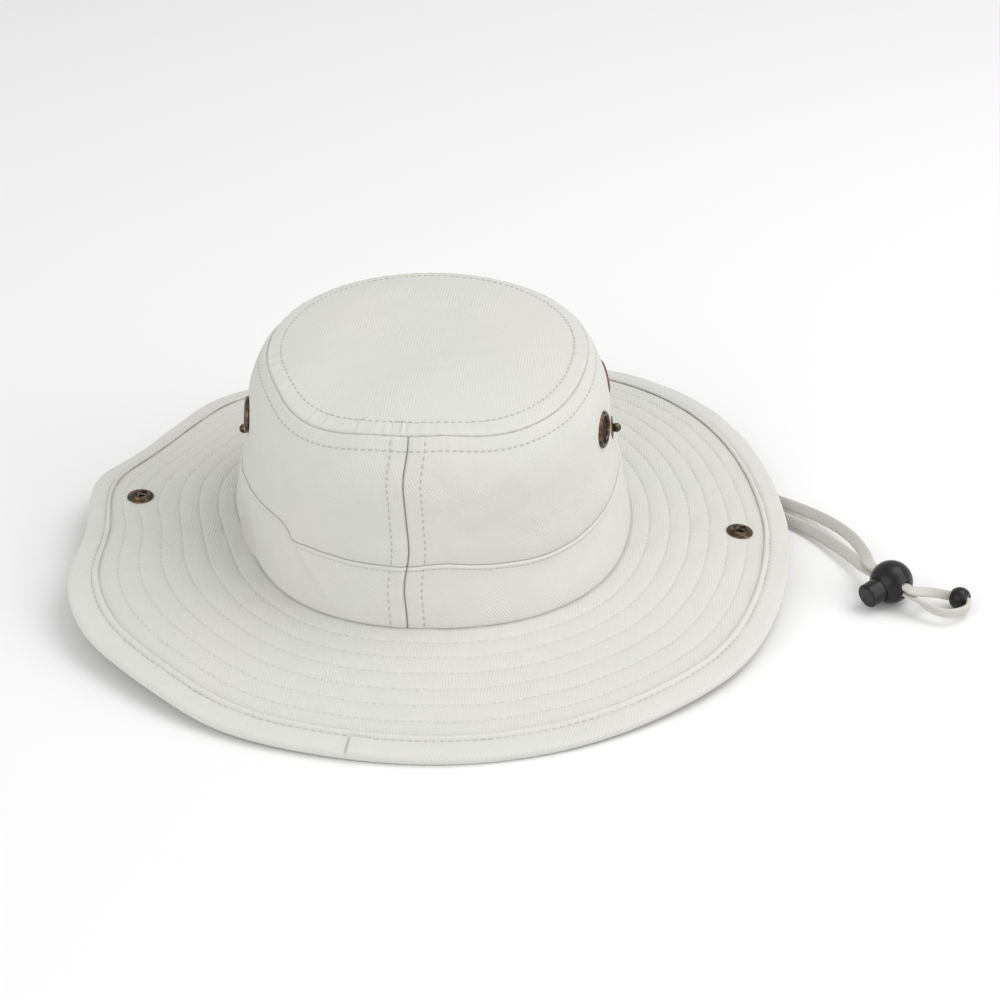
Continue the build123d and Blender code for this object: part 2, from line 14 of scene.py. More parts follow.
import bmesh
import bpy
import numpy as np
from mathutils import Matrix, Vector


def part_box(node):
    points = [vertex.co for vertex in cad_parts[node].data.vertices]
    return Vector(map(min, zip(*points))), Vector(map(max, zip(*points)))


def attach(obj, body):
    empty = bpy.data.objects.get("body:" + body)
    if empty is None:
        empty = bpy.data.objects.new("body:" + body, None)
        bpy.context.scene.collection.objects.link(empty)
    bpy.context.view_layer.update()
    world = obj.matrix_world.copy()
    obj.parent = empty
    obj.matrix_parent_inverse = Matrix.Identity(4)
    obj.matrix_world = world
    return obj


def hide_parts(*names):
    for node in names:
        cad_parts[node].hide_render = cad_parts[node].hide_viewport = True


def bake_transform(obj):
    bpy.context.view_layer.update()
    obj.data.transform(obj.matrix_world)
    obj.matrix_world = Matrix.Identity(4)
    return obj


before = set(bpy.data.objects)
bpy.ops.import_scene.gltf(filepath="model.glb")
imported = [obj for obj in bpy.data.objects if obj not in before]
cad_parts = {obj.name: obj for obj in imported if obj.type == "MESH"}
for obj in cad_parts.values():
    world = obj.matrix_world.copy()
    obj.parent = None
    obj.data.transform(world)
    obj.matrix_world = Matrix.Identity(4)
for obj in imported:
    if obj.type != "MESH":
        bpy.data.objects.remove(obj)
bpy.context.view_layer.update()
LOG = logging.getLogger("boonie_hat")
MM = 0.001
FRONT = 1.5 * math.pi
REAR = 0.5 * math.pi
Array = np.ndarray


class Side(Enum):
    """The two sides of the hat, with the sign of their X."""

    LEFT = -1
    RIGHT = 1

    @property
    def word(self) -> str:
        """The side's name in node and piece names."""
        return self.name.lower()

    def turns(self) -> tuple[float, float]:
        """First and last angle round the hat of this half, in radians."""
        return (-REAR, REAR) if self is Side.RIGHT else (REAR, FRONT)


class Layer(Enum):
    """The brim's layers, as (depth of the upper face, thickness) below the brim's top."""

    UPPER = (0.0, 0.7 * MM)
    INTERLINING = (0.8 * MM, 0.8 * MM)
    LOWER = (1.7 * MM, 0.7 * MM)


# ------------------------------------------------------------------ numbers and meshes

def spline_through(at: Array, knots: Sequence[float], values: Sequence[float]) -> Array:
    """Natural cubic spline: second derivatives solve the usual tridiagonal system.

    Args:
        at: places to work the curve out at.
        knots: rising places of the known values.
        values: the known values.

    Returns:
        The curve's values at the places.
    """
    knot, value = np.asarray(knots, float), np.asarray(values, float)
    step, last = np.diff(knot), len(knot) - 1
    system, right = np.eye(last + 1), np.zeros(last + 1)
    for i in range(1, last):
        system[i, i - 1:i + 2] = step[i - 1], 2 * (step[i - 1] + step[i]), step[i]
        right[i] = 3 * ((value[i + 1] - value[i]) / step[i] - (value[i] - value[i - 1]) / step[i - 1])
    curve = np.linalg.solve(system, right)
    slope = np.diff(value) / step - step * (2 * curve[:-1] + curve[1:]) / 3
    third = np.diff(curve) / (3 * step)
    place = np.asarray(at, float)
    span = np.clip(np.searchsorted(knot, place) - 1, 0, last - 1)
    past = place - knot[span]
    return value[span] + past * (slope[span] + past * (curve[span] + past * third[span]))


def unit(vectors: Array) -> Array:
    """Vectors brought to length 1."""
    return vectors / np.linalg.norm(vectors, axis=-1, keepdims=True)


def paired(first: Any, second: Any) -> tuple[Array, Array]:
    """Two parameters spread over one common grid of floats."""
    return np.broadcast_arrays(np.asarray(first, float), np.asarray(second, float))


def lengths_along(points: Array) -> Array:
    """Length along a line at each of its points: running sum of the steps."""
    return np.concatenate([[0], np.cumsum(np.linalg.norm(np.diff(points, axis=0), axis=1))])


def read_along(length: Array, values: Array, where: Array) -> Array:
    """Vectors read at lengths along a line, straight between its points."""
    return np.stack([np.interp(where, length, column) for column in values.T], -1)


def cloth_map(first: Array, second: Array) -> Array:
    """Texture coordinates of a grid from two lengths in metres."""
    return np.stack(np.broadcast_arrays(first, second), -1)


def square_to(axis: Array) -> tuple[Array, Array]:
    """Two unit vectors square to an axis and to each other."""
    across = unit(np.cross(axis, (0.0, 0.0, 1.0) if abs(axis[2]) < 0.9 else (1.0, 0.0, 0.0)))
    return across, np.cross(axis, across)


def bump_at(distance: Array, width: float) -> Array:
    """Bell of height 1 at distance 0: exp(-(distance / width) squared)."""
    return np.exp(-(distance / width) ** 2)


def shelf(distance: Array, end: float, soft: float) -> Array:
    """Step from 1 to 0 at a distance, over a soft edge: half of 1 - tanh."""
    return 0.5 - 0.5 * np.tanh((distance - end) / soft)


def stations(length: float, marks: Iterable[float], coarse: float, fine: float = 0.35 * MM,
             reach: float = 1.4 * MM) -> Array:
    """Places along a length: even steps, with finer ones round each mark.

    Args:
        length: the whole length.
        marks: places that need fine steps.
        coarse: largest step.
        fine: step round a mark.
        reach: how far the fine steps go each side of a mark.

    Returns:
        Rising places from 0 to the length.
    """
    places = [np.linspace(0, length, max(2, round(length / coarse) + 1))]
    around = np.arange(-reach, reach + fine / 2, fine)
    places += [mark + around for mark in marks]
    joined = np.unique(np.round(np.clip(np.concatenate(places), 0, length), 6))
    keep = np.concatenate([[True], np.diff(joined) > fine * 0.45])
    keep[-1] = True
    return joined[keep]


class Waves:
    """Sum of sines of seeded lengths, heights and phases, about 1 high."""

    def __init__(self, seed: int, shortest: float, longest: float, count: int = 7) -> None:
        """Draws the waves.

        Args:
            seed: start of the random numbers.
            shortest: shortest wave length, in metres.
            longest: longest wave length, in metres.
            count: number of waves.
        """
        draw = np.random.default_rng(seed)
        self.pace = 2 * math.pi / np.exp(draw.uniform(math.log(shortest), math.log(longest), count))
        self.height = draw.uniform(0.4, 1.0, count) / math.sqrt(count)
        self.phase = draw.uniform(0, 2 * math.pi, count)
        self.heading = draw.uniform(0, math.pi, count)

    def along(self, place: Array) -> Array:
        """Height along one coordinate."""
        place = np.asarray(place)[..., None]
        return (self.height * np.sin(self.pace * place + self.phase)).sum(-1)

    def ring(self, turn: Array, radius: float) -> Array:
        """Height round a circle, each wave fitting it a whole number of times."""
        turn = np.asarray(turn)[..., None]
        return (self.height * np.sin(np.round(self.pace * radius) * turn + self.phase)).sum(-1)

    def wall(self, turn: Array, radius: float, other: Array) -> Array:
        """Height over a turn and a length, each wave closing on itself round the turn.

        Args:
            turn: angle round, in radians.
            radius: radius that the waves' lengths are measured on.
            other: length across the turn.

        Returns:
            Heights on the common grid.
        """
        turn, other = np.broadcast_arrays(np.asarray(turn)[..., None], np.asarray(other)[..., None])
        times = np.round(self.pace * radius * np.cos(self.heading))
        course = times * turn + self.pace * np.sin(self.heading) * other
        return (self.height * np.sin(course + self.phase)).sum(-1)

    def over(self, first: Array, second: Array) -> Array:
        """Height over two coordinates, each wave running its own way.

        Args:
            first: first coordinate.
            second: second coordinate.

        Returns:
            Heights on the common grid.
        """
        first, second = np.broadcast_arrays(np.asarray(first)[..., None], np.asarray(second)[..., None])
        course = first * np.cos(self.heading) + second * np.sin(self.heading)
        return (self.height * np.sin(self.pace * course + self.phase)).sum(-1)


def grid_faces(rows: int, columns: int, wrap: bool = False, start: int = 0) -> Array:
    """Quads of a grid of vertices, row by row.

    Args:
        rows: rows of vertices.
        columns: vertices in a row.
        wrap: whether the last column joins the first.
        start: number of the first vertex.

    Returns:
        Four vertex numbers for each quad.
    """
    index = np.arange(rows * columns).reshape(rows, columns) + start
    if wrap:
        index = np.concatenate([index, index[:, :1]], 1)
    quads = [index[:-1, :-1], index[:-1, 1:], index[1:, 1:], index[1:, :-1]]
    return np.stack(quads, -1).reshape(-1, 4)


def new_object(name: str, points: Array, faces: list[Any], uv: Optional[Array] = None, weld: bool = True,
               sharp: float = 40.0, crease: Optional[Array] = None) -> bpy.types.Object:
    """Makes a mesh object from arrays, smooth but for its sharp edges.

    Args:
        name: the piece's name.
        points: vertices, in metres.
        faces: lists of vertex numbers.
        uv: one pair of texture coordinates for each vertex.
        weld: merge doubles and turn the faces outwards.
        sharp: angle in degrees past which an edge is sharp.
        crease: how deep in a seam each vertex lies, 0 to 1; the cloth's colour darkens with it, painted shade
            in the seams.

    Returns:
        The new object, at the origin.
    """
    mesh = bpy.data.meshes.new(name)
    mesh.from_pydata(np.asarray(points).reshape(-1, 3).tolist(), [], faces)
    if crease is not None:
        layer = mesh.attributes.new("crease", "FLOAT", "POINT")
        layer.data.foreach_set("value", np.asarray(crease, np.float32).ravel())
    if uv is not None:
        corner = np.empty(len(mesh.loops), np.int32)
        mesh.loops.foreach_get("vertex_index", corner)
        layer = mesh.uv_layers.new(name="UVMap")
        layer.data.foreach_set("uv", np.asarray(uv).reshape(-1, 2)[corner].astype(np.float32).ravel())
    if weld:
        work = bmesh.new()
        work.from_mesh(mesh)
        bmesh.ops.remove_doubles(work, verts=work.verts, dist=1e-7)
        bmesh.ops.delete(work, geom=[vertex for vertex in work.verts if not vertex.link_faces])
        bmesh.ops.recalc_face_normals(work, faces=work.faces)
        work.to_mesh(mesh)
        work.free()
    mesh.polygons.foreach_set("use_smooth", np.ones(len(mesh.polygons), bool))
    mesh.set_sharp_from_angle(angle=math.radians(sharp))
    mesh.update()
    piece = bpy.data.objects.new(name, mesh)
    bpy.context.scene.collection.objects.link(piece)
    return piece


def closed_slab(name: str, outer: Array, inner: Array, uv: Array, wrap: bool = False,
                holes: Sequence[tuple[Array, float]] = (),
                crease: Optional[Array] = None) -> bpy.types.Object:
    """Closed sheet between two grids of the same size, joined round its borders and holes.

    A quad is left out where its middle lies inside a hole; every edge that then has a quad on
    one side only gets a wall between the two grids.

    Args:
        name: the piece's name.
        outer: grid of points, rows by columns by 3.
        inner: the other face, on the same grid.
        uv: texture coordinates of the grid.
        wrap: whether the columns close into a ring.
        holes: centre and radius of each round hole.
        crease: how deep in a seam each point of the grid lies; it darkens the cloth's colour there, painted
            shade.

    Returns:
        The new piece.
    """
    rows, columns = outer.shape[:2]
    count = rows * columns
    quads = grid_faces(rows, columns, wrap)
    middles = outer.reshape(-1, 3)[quads].mean(1)
    for centre, radius in holes:
        away = np.linalg.norm(middles - centre, axis=1)
        quads, middles = quads[away > radius], middles[away > radius]
    edges = np.stack([quads, np.roll(quads, -1, axis=1)], -1).reshape(-1, 2)
    keys = np.sort(edges, axis=1) @ np.array([count, 1])
    _, first, uses = np.unique(keys, return_index=True, return_counts=True)
    border = edges[first[uses == 1]]
    walls = np.stack([border[:, 1], border[:, 0], border[:, 0] + count, border[:, 1] + count], -1)
    faces = np.concatenate([quads, quads[:, ::-1] + count, walls]).tolist()
    points = np.concatenate([outer.reshape(-1, 3), inner.reshape(-1, 3)])
    deep = np.zeros(outer.shape[:2]) if crease is None else np.broadcast_to(crease, outer.shape[:2])
    return new_object(name, points, faces, np.concatenate([uv.reshape(-1, 2)] * 2),
                      crease=np.concatenate([deep.ravel()] * 2))


def turned(name: str, profile: Sequence[tuple[float, float]], base: Array, axis: Array,
           segments: int = 72, smooth: int = 1) -> bpy.types.Object:
    """Closed profile of (radius, height) points turned about an axis.

    The profile is rounded by corner cutting, then carried round the axis: centre plus radius
    times the turning direction plus height times the axis.

    Args:
        name: the piece's name.
        profile: outline points in millimetres.
        base: point where the axis meets the surface.
        axis: unit vector of the axis.
        segments: steps round.
        smooth: rounds of corner cutting.

    Returns:
        The new piece.
    """
    line = np.array(profile, float) * MM
    for _ in range(smooth):
        following = np.roll(line, -1, axis=0)
        line = np.stack([0.75 * line + 0.25 * following, 0.25 * line + 0.75 * following], 1).reshape(-1, 2)
    line[:, 0] = np.maximum(line[:, 0], 0)
    across, third = square_to(axis)
    turn = np.linspace(0, 2 * math.pi, segments, endpoint=False)[None, :, None]
    round_way = across * np.cos(turn) + third * np.sin(turn)
    points = base + line[:, None, :1] * round_way + line[:, None, 1:] * axis
    closed = np.concatenate([points, points[:1]])
    return new_object(name, closed, grid_faces(len(closed), segments, True).tolist(), sharp=50.0)


# ------------------------------------------------------------------ shader tools

class Sock:
    """A shader value that can be added, taken away, multiplied and divided in Python."""

    def __init__(self, maker: "Shader", socket: bpy.types.NodeSocket) -> None:
        """Wraps a socket of one material."""
        self.maker = maker
        self.socket = socket

    def _math(self, operation: str, *values: Any) -> "Sock":
        """A Math node on these values."""
        return self.maker.node("ShaderNodeMath", {"operation": operation}, dict(enumerate(values)))

    def __add__(self, other: Any) -> "Sock":
        """Sum."""
        return self._math("ADD", self, other)

    __radd__ = __add__

    def __mul__(self, other: Any) -> "Sock":
        """Product."""
        return self._math("MULTIPLY", self, other)

    __rmul__ = __mul__

    def __sub__(self, other: Any) -> "Sock":
        """Difference."""
        return self._math("SUBTRACT", self, other)

    def __rsub__(self, other: Any) -> "Sock":
        """Difference from a number."""
        return self._math("SUBTRACT", other, self)

    def sine(self) -> "Sock":
        """Sine of the value."""
        return self._math("SINE", self)

    def between(self, low: float, high: float) -> "Sock":
        """Smooth step from 0 at low to 1 at high."""
        return self.maker.node("ShaderNodeMapRange", {"interpolation_type": "SMOOTHSTEP"},
                               {"Value": self, "From Min": low, "From Max": high})


class Shader:
    """One material and the means to add nodes to it."""

    def __init__(self, name: str) -> None:
        """Starts a material with its principled surface.

        Args:
            name: the material's name.
        """
        self.material = bpy.data.materials.new(name)
        self.material.use_nodes = True
        self.tree = self.material.node_tree
        self.surface = self.tree.nodes["Principled BSDF"]

    def node(self, kind: str, settings: Optional[dict[str, Any]] = None,
             inputs: Optional[dict[Any, Any]] = None, output: Any = 0) -> Sock:
        """Adds a node.

        Args:
            kind: the node's type.
            settings: its properties, set first.
            inputs: values or links for its sockets, by name or number.
            output: which output to return.

        Returns:
            The chosen output.
        """
        made = self.tree.nodes.new(kind)
        for key, value in (settings or {}).items():
            setattr(made, key, value)
        for key, value in (inputs or {}).items():
            self.feed(made.inputs[key], value)
        return Sock(self, made.outputs[output])

    def feed(self, target: bpy.types.NodeSocket, value: Any) -> None:
        """Links a value to a socket, or sets it.

        Args:
            target: the socket to feed.
            value: another node's output, or a constant.
        """
        if isinstance(value, Sock):
            self.tree.links.new(value.socket, target)
        else:
            target.default_value = value

    def set(self, **inputs: Any) -> None:
        """Feeds the surface's own sockets, spaces written as underscores."""
        for key, value in inputs.items():
            self.feed(self.surface.inputs[key.replace("_", " ")], value)

    def parts_of(self, vector: Sock) -> tuple[Sock, Sock, Sock]:
        """The three numbers of a vector."""
        split = self.node("ShaderNodeSeparateXYZ", None, {0: vector})
        return tuple(Sock(self, output) for output in split.socket.node.outputs)

    def place(self, flat: bool = False) -> Sock:
        """Object coordinates, or the piece's own UV map, both in metres."""
        return self.node("ShaderNodeTexCoord", None, None, "UV" if flat else "Object")

    def noise(self, scale: float, detail: float = 3.0) -> Sock:
        """Smooth noise from 0 to 1 over object coordinates."""
        return self.node("ShaderNodeTexNoise", None,
                         {"Vector": self.place(), "Scale": scale, "Detail": detail})

    def mix(self, factor: Any, first: Any, second: Any) -> Sock:
        """Mix of two colours."""
        return self.node("ShaderNodeMix", {"data_type": "RGBA"}, {0: factor, 6: first, 7: second}, 2)

    def bump(self, height: Sock, distance: float, strength: float = 1.0) -> None:
        """Bumps the surface's normal by a height of 0 to 1 times a distance."""
        settings = {"Height": height, "Distance": distance, "Strength": strength}
        self.set(Normal=self.node("ShaderNodeBump", None, settings))


def colour(red: float, green: float, blue: float) -> tuple[float, float, float, float]:
    """A colour with full alpha."""
    return (red, green, blue, 1.0)


def darker(tint: tuple[float, float, float], share: float) -> tuple[float, float, float, float]:
    """A tint with each channel brought down to a share of itself."""
    return colour(*(channel * share for channel in tint))


@dataclass(frozen=True)
class Twill:
    """Off-white cotton twill: ribs along one heading of the cloth, broken into short floats."""

    name: str
    heading: float                      # degrees from the cloth's first direction to across the ribs
    tint: tuple[float, float, float] = (0.640, 0.643, 0.604)
    rib_pitch: float = 1.25 * MM
    # how far the colour darkens between the ribs: partly weave tone, partly painted shade
    rib_contrast: float = 0.19
    depth: float = 0.18 * MM
    # painted shade: the colour that the cloth darkens to where the crease attribute is high
    painted_seam_shade: tuple[float, float, float] = (0.16, 0.155, 0.14)

    def material(self) -> bpy.types.Material:
        """Builds the cloth.

        Ribs are a sine across the heading; floats are a sine along it, shifted by the ribs;
        a slow noise makes the ribs fade in and out, and a fine one adds slubs.

        Returns:
            The material.
        """
        make = Shader(self.name)
        across, along, _ = make.parts_of(make.place(flat=True))
        turn = math.radians(self.heading)
        course = across * math.cos(turn) + along * math.sin(turn)
        run = along * math.cos(turn) - across * math.sin(turn)
        wobble = make.noise(180.0, 2.0) * (0.35 * MM)
        rib = ((course + wobble) * (2 * math.pi / self.rib_pitch)).sine() * 0.5 + 0.5
        floats = ((run + course * 0.5) * (2 * math.pi / (self.rib_pitch * 0.8))).sine() * 0.5 + 0.5
        patch = make.noise(42.0, 2.0).between(0.38, 0.68) * 0.75 + 0.25
        weave = (rib * 0.7 + floats * 0.3) * patch
        slub = make.noise(900.0, 2.0)
        # painted shade: the colour darkens where the weave lies low, between the ribs, with some of the
        # weave's own tone; the slubs add a little uneven tone
        rib_shade_and_slub_tone = (1.0 - weave) * (self.rib_contrast * 2) + slub.between(0.35, 0.75) * 0.035
        warm = colour(self.tint[0] * 1.02, self.tint[1], self.tint[2] * 0.985)
        cloth = make.mix(make.noise(9.0, 1.0).between(0.35, 0.7), colour(*self.tint), warm)
        cloth = make.mix(rib_shade_and_slub_tone, cloth, darker(self.tint, 0.72))
        # painted shade: the crease attribute darkens the cloth in its seams and under overlapping edges
        crease = make.node("ShaderNodeAttribute", {"attribute_name": "crease"}, None, "Fac")
        make.set(Base_Color=make.mix(crease, cloth, colour(*self.painted_seam_shade)), Roughness=0.92,
                 Sheen_Weight=0.18, Sheen_Roughness=0.55, Specular_IOR_Level=0.18)
        make.bump(weave + slub * 0.35, self.depth)
        return make.material


@dataclass(frozen=True)
class Thread:
    """Sewing thread: two plies twisted, a little darker than the cloth; the seam thread's extra darkness is
    painted shade of its stitches.
    """

    name: str
    tint: tuple[float, float, float]

    def material(self) -> bpy.types.Material:
        """Builds the thread from a fine noise in colour and height.

        Returns:
            The material.
        """
        make = Shader(self.name)
        fuzz = make.noise(2600.0, 2.0)
        worn = fuzz.between(0.3, 0.75) * 0.6
        make.set(Base_Color=make.mix(worn, colour(*self.tint), darker(self.tint, 0.66)),
                 Roughness=0.8, Sheen_Weight=0.2)
        make.bump(fuzz, 0.05 * MM)
        return make.material


@dataclass(frozen=True)
class AntiqueBrass:
    """Darkened brass, rubbed bright on its raised places."""

    name: str = "antique_brass"
    patina: tuple[float, float, float] = (0.055, 0.038, 0.025)
    bright: tuple[float, float, float] = (0.40, 0.275, 0.155)

    def material(self) -> bpy.types.Material:
        """Builds the metal: patina noise, with pointed edges rubbed back to brass.

        Returns:
            The material.
        """
        make = Shader(self.name)
        patina = make.noise(420.0, 4.0)
        edges = make.node("ShaderNodeNewGeometry", None, None, "Pointiness").between(0.51, 0.60)
        rub = patina.between(0.35, 0.75) * 0.45 + edges * 0.5
        make.set(Base_Color=make.mix(rub, colour(*self.patina), colour(*self.bright)),
                 Metallic=0.92, Roughness=patina.between(0.2, 0.9) * 0.22 + 0.26)
        make.bump(make.noise(900.0, 3.0), 0.03 * MM)
        return make.material


@dataclass(frozen=True)
class Plastic:
    """Black moulded plastic with a satin surface."""

    name: str = "black_plastic"
    tint: tuple[float, float, float] = (0.006, 0.006, 0.0065)
    dusty: tuple[float, float, float] = (0.011, 0.0105, 0.0105)

    def material(self) -> bpy.types.Material:
        """Builds the plastic: faint moulding grain and uneven gloss.

        Returns:
            The material.
        """
        make = Shader(self.name)
        grain = make.noise(2400.0, 2.0)
        uneven = make.noise(160.0, 3.0)
        make.set(Base_Color=make.mix(uneven, colour(*self.tint), colour(*self.dusty)),
                 Roughness=uneven.between(0.3, 0.8) * 0.12 + 0.26, Specular_IOR_Level=0.32)
        make.bump(grain, 0.02 * MM)
        return make.material


@dataclass(frozen=True)
class Braid:
    """Flat braided cord: yarns crossing in a herringbone along the cord's length."""

    name: str = "flat_cord"
    tint: tuple[float, float, float] = (0.58, 0.565, 0.515)
    pitch: float = 1.5 * MM

    def material(self) -> bpy.types.Material:
        """Builds the braid from two sets of slanting yarns on the cord's own map.

        Returns:
            The material.
        """
        make = Shader(self.name)
        across, along, _ = make.parts_of(make.place(flat=True))
        pace = 2 * math.pi / self.pitch
        first = ((along + across) * pace).sine() * 0.5 + 0.5
        second = ((along - across) * pace).sine() * 0.5 + 0.5
        yarn = first * 0.5 + second * 0.5
        make.set(Base_Color=make.mix((1.0 - yarn) * 0.5, colour(*self.tint), darker(self.tint, 0.62)),
                 Roughness=0.88, Sheen_Weight=0.25)
        make.bump(yarn, 0.16 * MM)
        return make.material


@dataclass(frozen=True)
class Plain:
    """A simple finish with a little grain: interlining felt, mesh, wire, floor."""

    name: str
    tint: tuple[float, float, float]
    roughness: float
    metallic: float = 0.0
    grain: float = 1500.0
    depth: float = 0.03 * MM
    uneven: float = 0.15

    def material(self) -> bpy.types.Material:
        """Builds the finish with one noise in colour and height.

        Returns:
            The material.
        """
        make = Shader(self.name)
        grain = make.noise(self.grain, 3.0)
        make.set(Base_Color=make.mix(grain, colour(*self.tint), darker(self.tint, 1 - self.uneven)),
                 Roughness=self.roughness, Metallic=self.metallic)
        make.bump(grain, self.depth)
        return make.material


@dataclass
class Wardrobe:
    """All finishes, each built once when it is first worn."""

    finishes: dict[str, Any] = field(default_factory=lambda: {
        "tip": Twill("twill_tip", 0.0, rib_contrast=0.17),
        "side": Twill("twill_side", 28.0),
        "band": Twill("twill_band", 34.0, rib_contrast=0.16),
        "brim": Twill("twill_brim", 0.0, rib_contrast=0.15),
        "binding": Twill("twill_binding", 40.0, tint=(0.635, 0.637, 0.60), rib_contrast=0.09),
        "lining": Twill("sweatband_cloth", 45.0, tint=(0.60, 0.59, 0.55)),
        # painted shade: the seam thread is tinted darker than the cloth since its stitches look dark from
        # their own shadow
        "thread": Thread("seam_thread", (0.46, 0.457, 0.425)),
        "quilt": Thread("quilting_thread", (0.57, 0.572, 0.537)),
        "brass": AntiqueBrass(),
        "plastic": Plastic(),
        "cord": Braid(),
        "felt": Plain("interlining_felt", (0.72, 0.72, 0.70), 0.95, grain=600.0, depth=0.1 * MM),
        "mesh": Plain("mesh_wire", (0.014, 0.013, 0.012), 0.55, grain=3000.0),
        "steel": Plain("spring_wire", (0.32, 0.28, 0.22), 0.35, 1.0)})
    made: dict[str, bpy.types.Material] = field(default_factory=dict)

    def dress(self, piece: bpy.types.Object, finish: str) -> bpy.types.Object:
        """Gives a piece one finish on all its faces.

        Args:
            piece: the piece to dress.
            finish: name of the finish.

        Returns:
            The same piece.
        """
        if finish not in self.made:
            self.made[finish] = self.finishes[finish].material()
        piece.data.materials.clear()
        piece.data.materials.append(self.made[finish])
        return piece


# ------------------------------------------------------------------ the hat's surfaces

@dataclass(frozen=True)
class Drift:
    """How far one seam of the soft hat strays from its plain oval, all the way round.

    Each knot is (degrees round the hat, outward mm, upward mm); between knots both run along
    a spline that closes on itself.
    """

    knots: tuple[tuple[float, float, float], ...]

    def at(self, turn: Array) -> tuple[Array, Array]:
        """Outward and upward stray at angles round the hat.

        Args:
            turn: angles in radians.

        Returns:
            Both strays, in metres.
        """
        table = np.array(sorted(self.knots))
        degrees = np.concatenate([table[:, 0] - 360, table[:, 0], table[:, 0] + 360])
        place = np.degrees(turn) % 360
        return tuple(spline_through(place, degrees, np.tile(table[:, i], 3)) * MM for i in (1, 2))


TIP_DRIFT = Drift((
    (0, 0, 0), (30, 0, 0), (90, 0, -0.5), (150, 0, 0), (195, 0, 0), (212, 1.2, -0.6), (221, 2.7, -2.7),
    (230, 3.8, -4.2), (239, 3.6, -4.6), (248, 2.6, -3.7), (259, 1.3, -2.0), (271, 0.9, -1.5),
    (282, 0.9, -1.4), (293, 1.9, -3.0), (303, 2.7, -4.2), (314, 3.3, -4.1), (325, 2.9, -3.3),
    (338, 1.6, -1.8), (349, 0.4, -0.5)))
BAND_DRIFT = Drift((
    (0, 1.3, -2.4), (30, 0, -1.5), (90, 0, 0), (150, 0, 0), (183, 1.0, 0.8), (205, -0.4, 1.4),
    (222, -0.4, 2.1), (227, -0.3, 1.2), (231, 0.3, -2.2), (236, 0.3, -2.7), (253, 0.3, -2.5),
    (271, 0.1, -1.4), (280, 0.0, -0.7), (291, 0.3, -3.2), (304, 0.6, -6.0), (315, 0.9, -7.6),
    (327, 1.3, -7.5), (338, 1.4, -6.2), (350, 1.6, -4.2)))
BASE_DRIFT = Drift((
    (0, 2.4, -1.2), (20, 1.2, -0.6), (60, 0, 0), (120, 0, 0), (160, 1.5, 0.6), (175, 2.4, 1.0),
    (187, 0.2, 0.2), (203, -2.8, 0.6), (220, 0.0, -0.2), (231, 1.5, -1.3), (245, 2.4, -2.0),
    (260, 2.1, -2.1), (272, 1.8, -1.9), (285, 2.6, -2.6), (297, 3.5, -3.5), (307, 4.7, -3.9),
    (317, 5.5, -4.2), (328, 5.8, -3.8), (345, 4.2, -2.2)))
RIM_DRIFT = Drift((
    (6, -2.4, -0.8), (15, -2.3, -1.4), (26, -0.8, -0.1), (40, 1.4, 2.2), (52, 3.3, 3.4),
    (62, 3.0, 3.5), (80, 1.2, 1.5), (105, -1.5, -2.0), (129, -3.8, -5.4), (138, -4.6, -5.4),
    (147, -7.6, -7.6), (158, -10.6, -8.8), (169, -9.4, -5.6), (176, -7.2, -2.4), (183, -7.6, -1.4),
    (190, -8.4, -0.8), (197, -5.8, 0.2), (204, 1.8, -0.8), (210, 5.3, -1.5), (217, 6.2, -1.9),
    (225, 4.2, -1.7), (234, 2.7, -1.1), (244, 2.4, -1.2), (256, 0.2, -0.2), (266, -0.6, 0.2),
    (280, 0.4, -0.3), (300, 2.4, -1.3), (312, 3.7, -1.7), (324, 5.3, -2.4), (335, 3.9, -1.6),
    (347, 0.9, 0.2), (356, -1.3, 0.2)))


def middles_of(*starts: str) -> Array:
    """Middles of the boxes of the CAD nodes whose names start so."""
    names = sorted(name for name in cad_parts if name.startswith(starts))
    return np.array([np.mean(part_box(name), axis=0) for name in names])


HARDWARE = middles_of("eyelet_ring", "snap_stud", "snap_socket")


def calm(points: Array, width: float = 13 * MM) -> Array:
    """0 at the hardware and 1 away from it: product of 1 - bell of the distance."""
    away = np.linalg.norm(points[..., None, :] - HARDWARE, axis=-1)
    return np.prod(1 - bump_at(away, width), axis=-1)


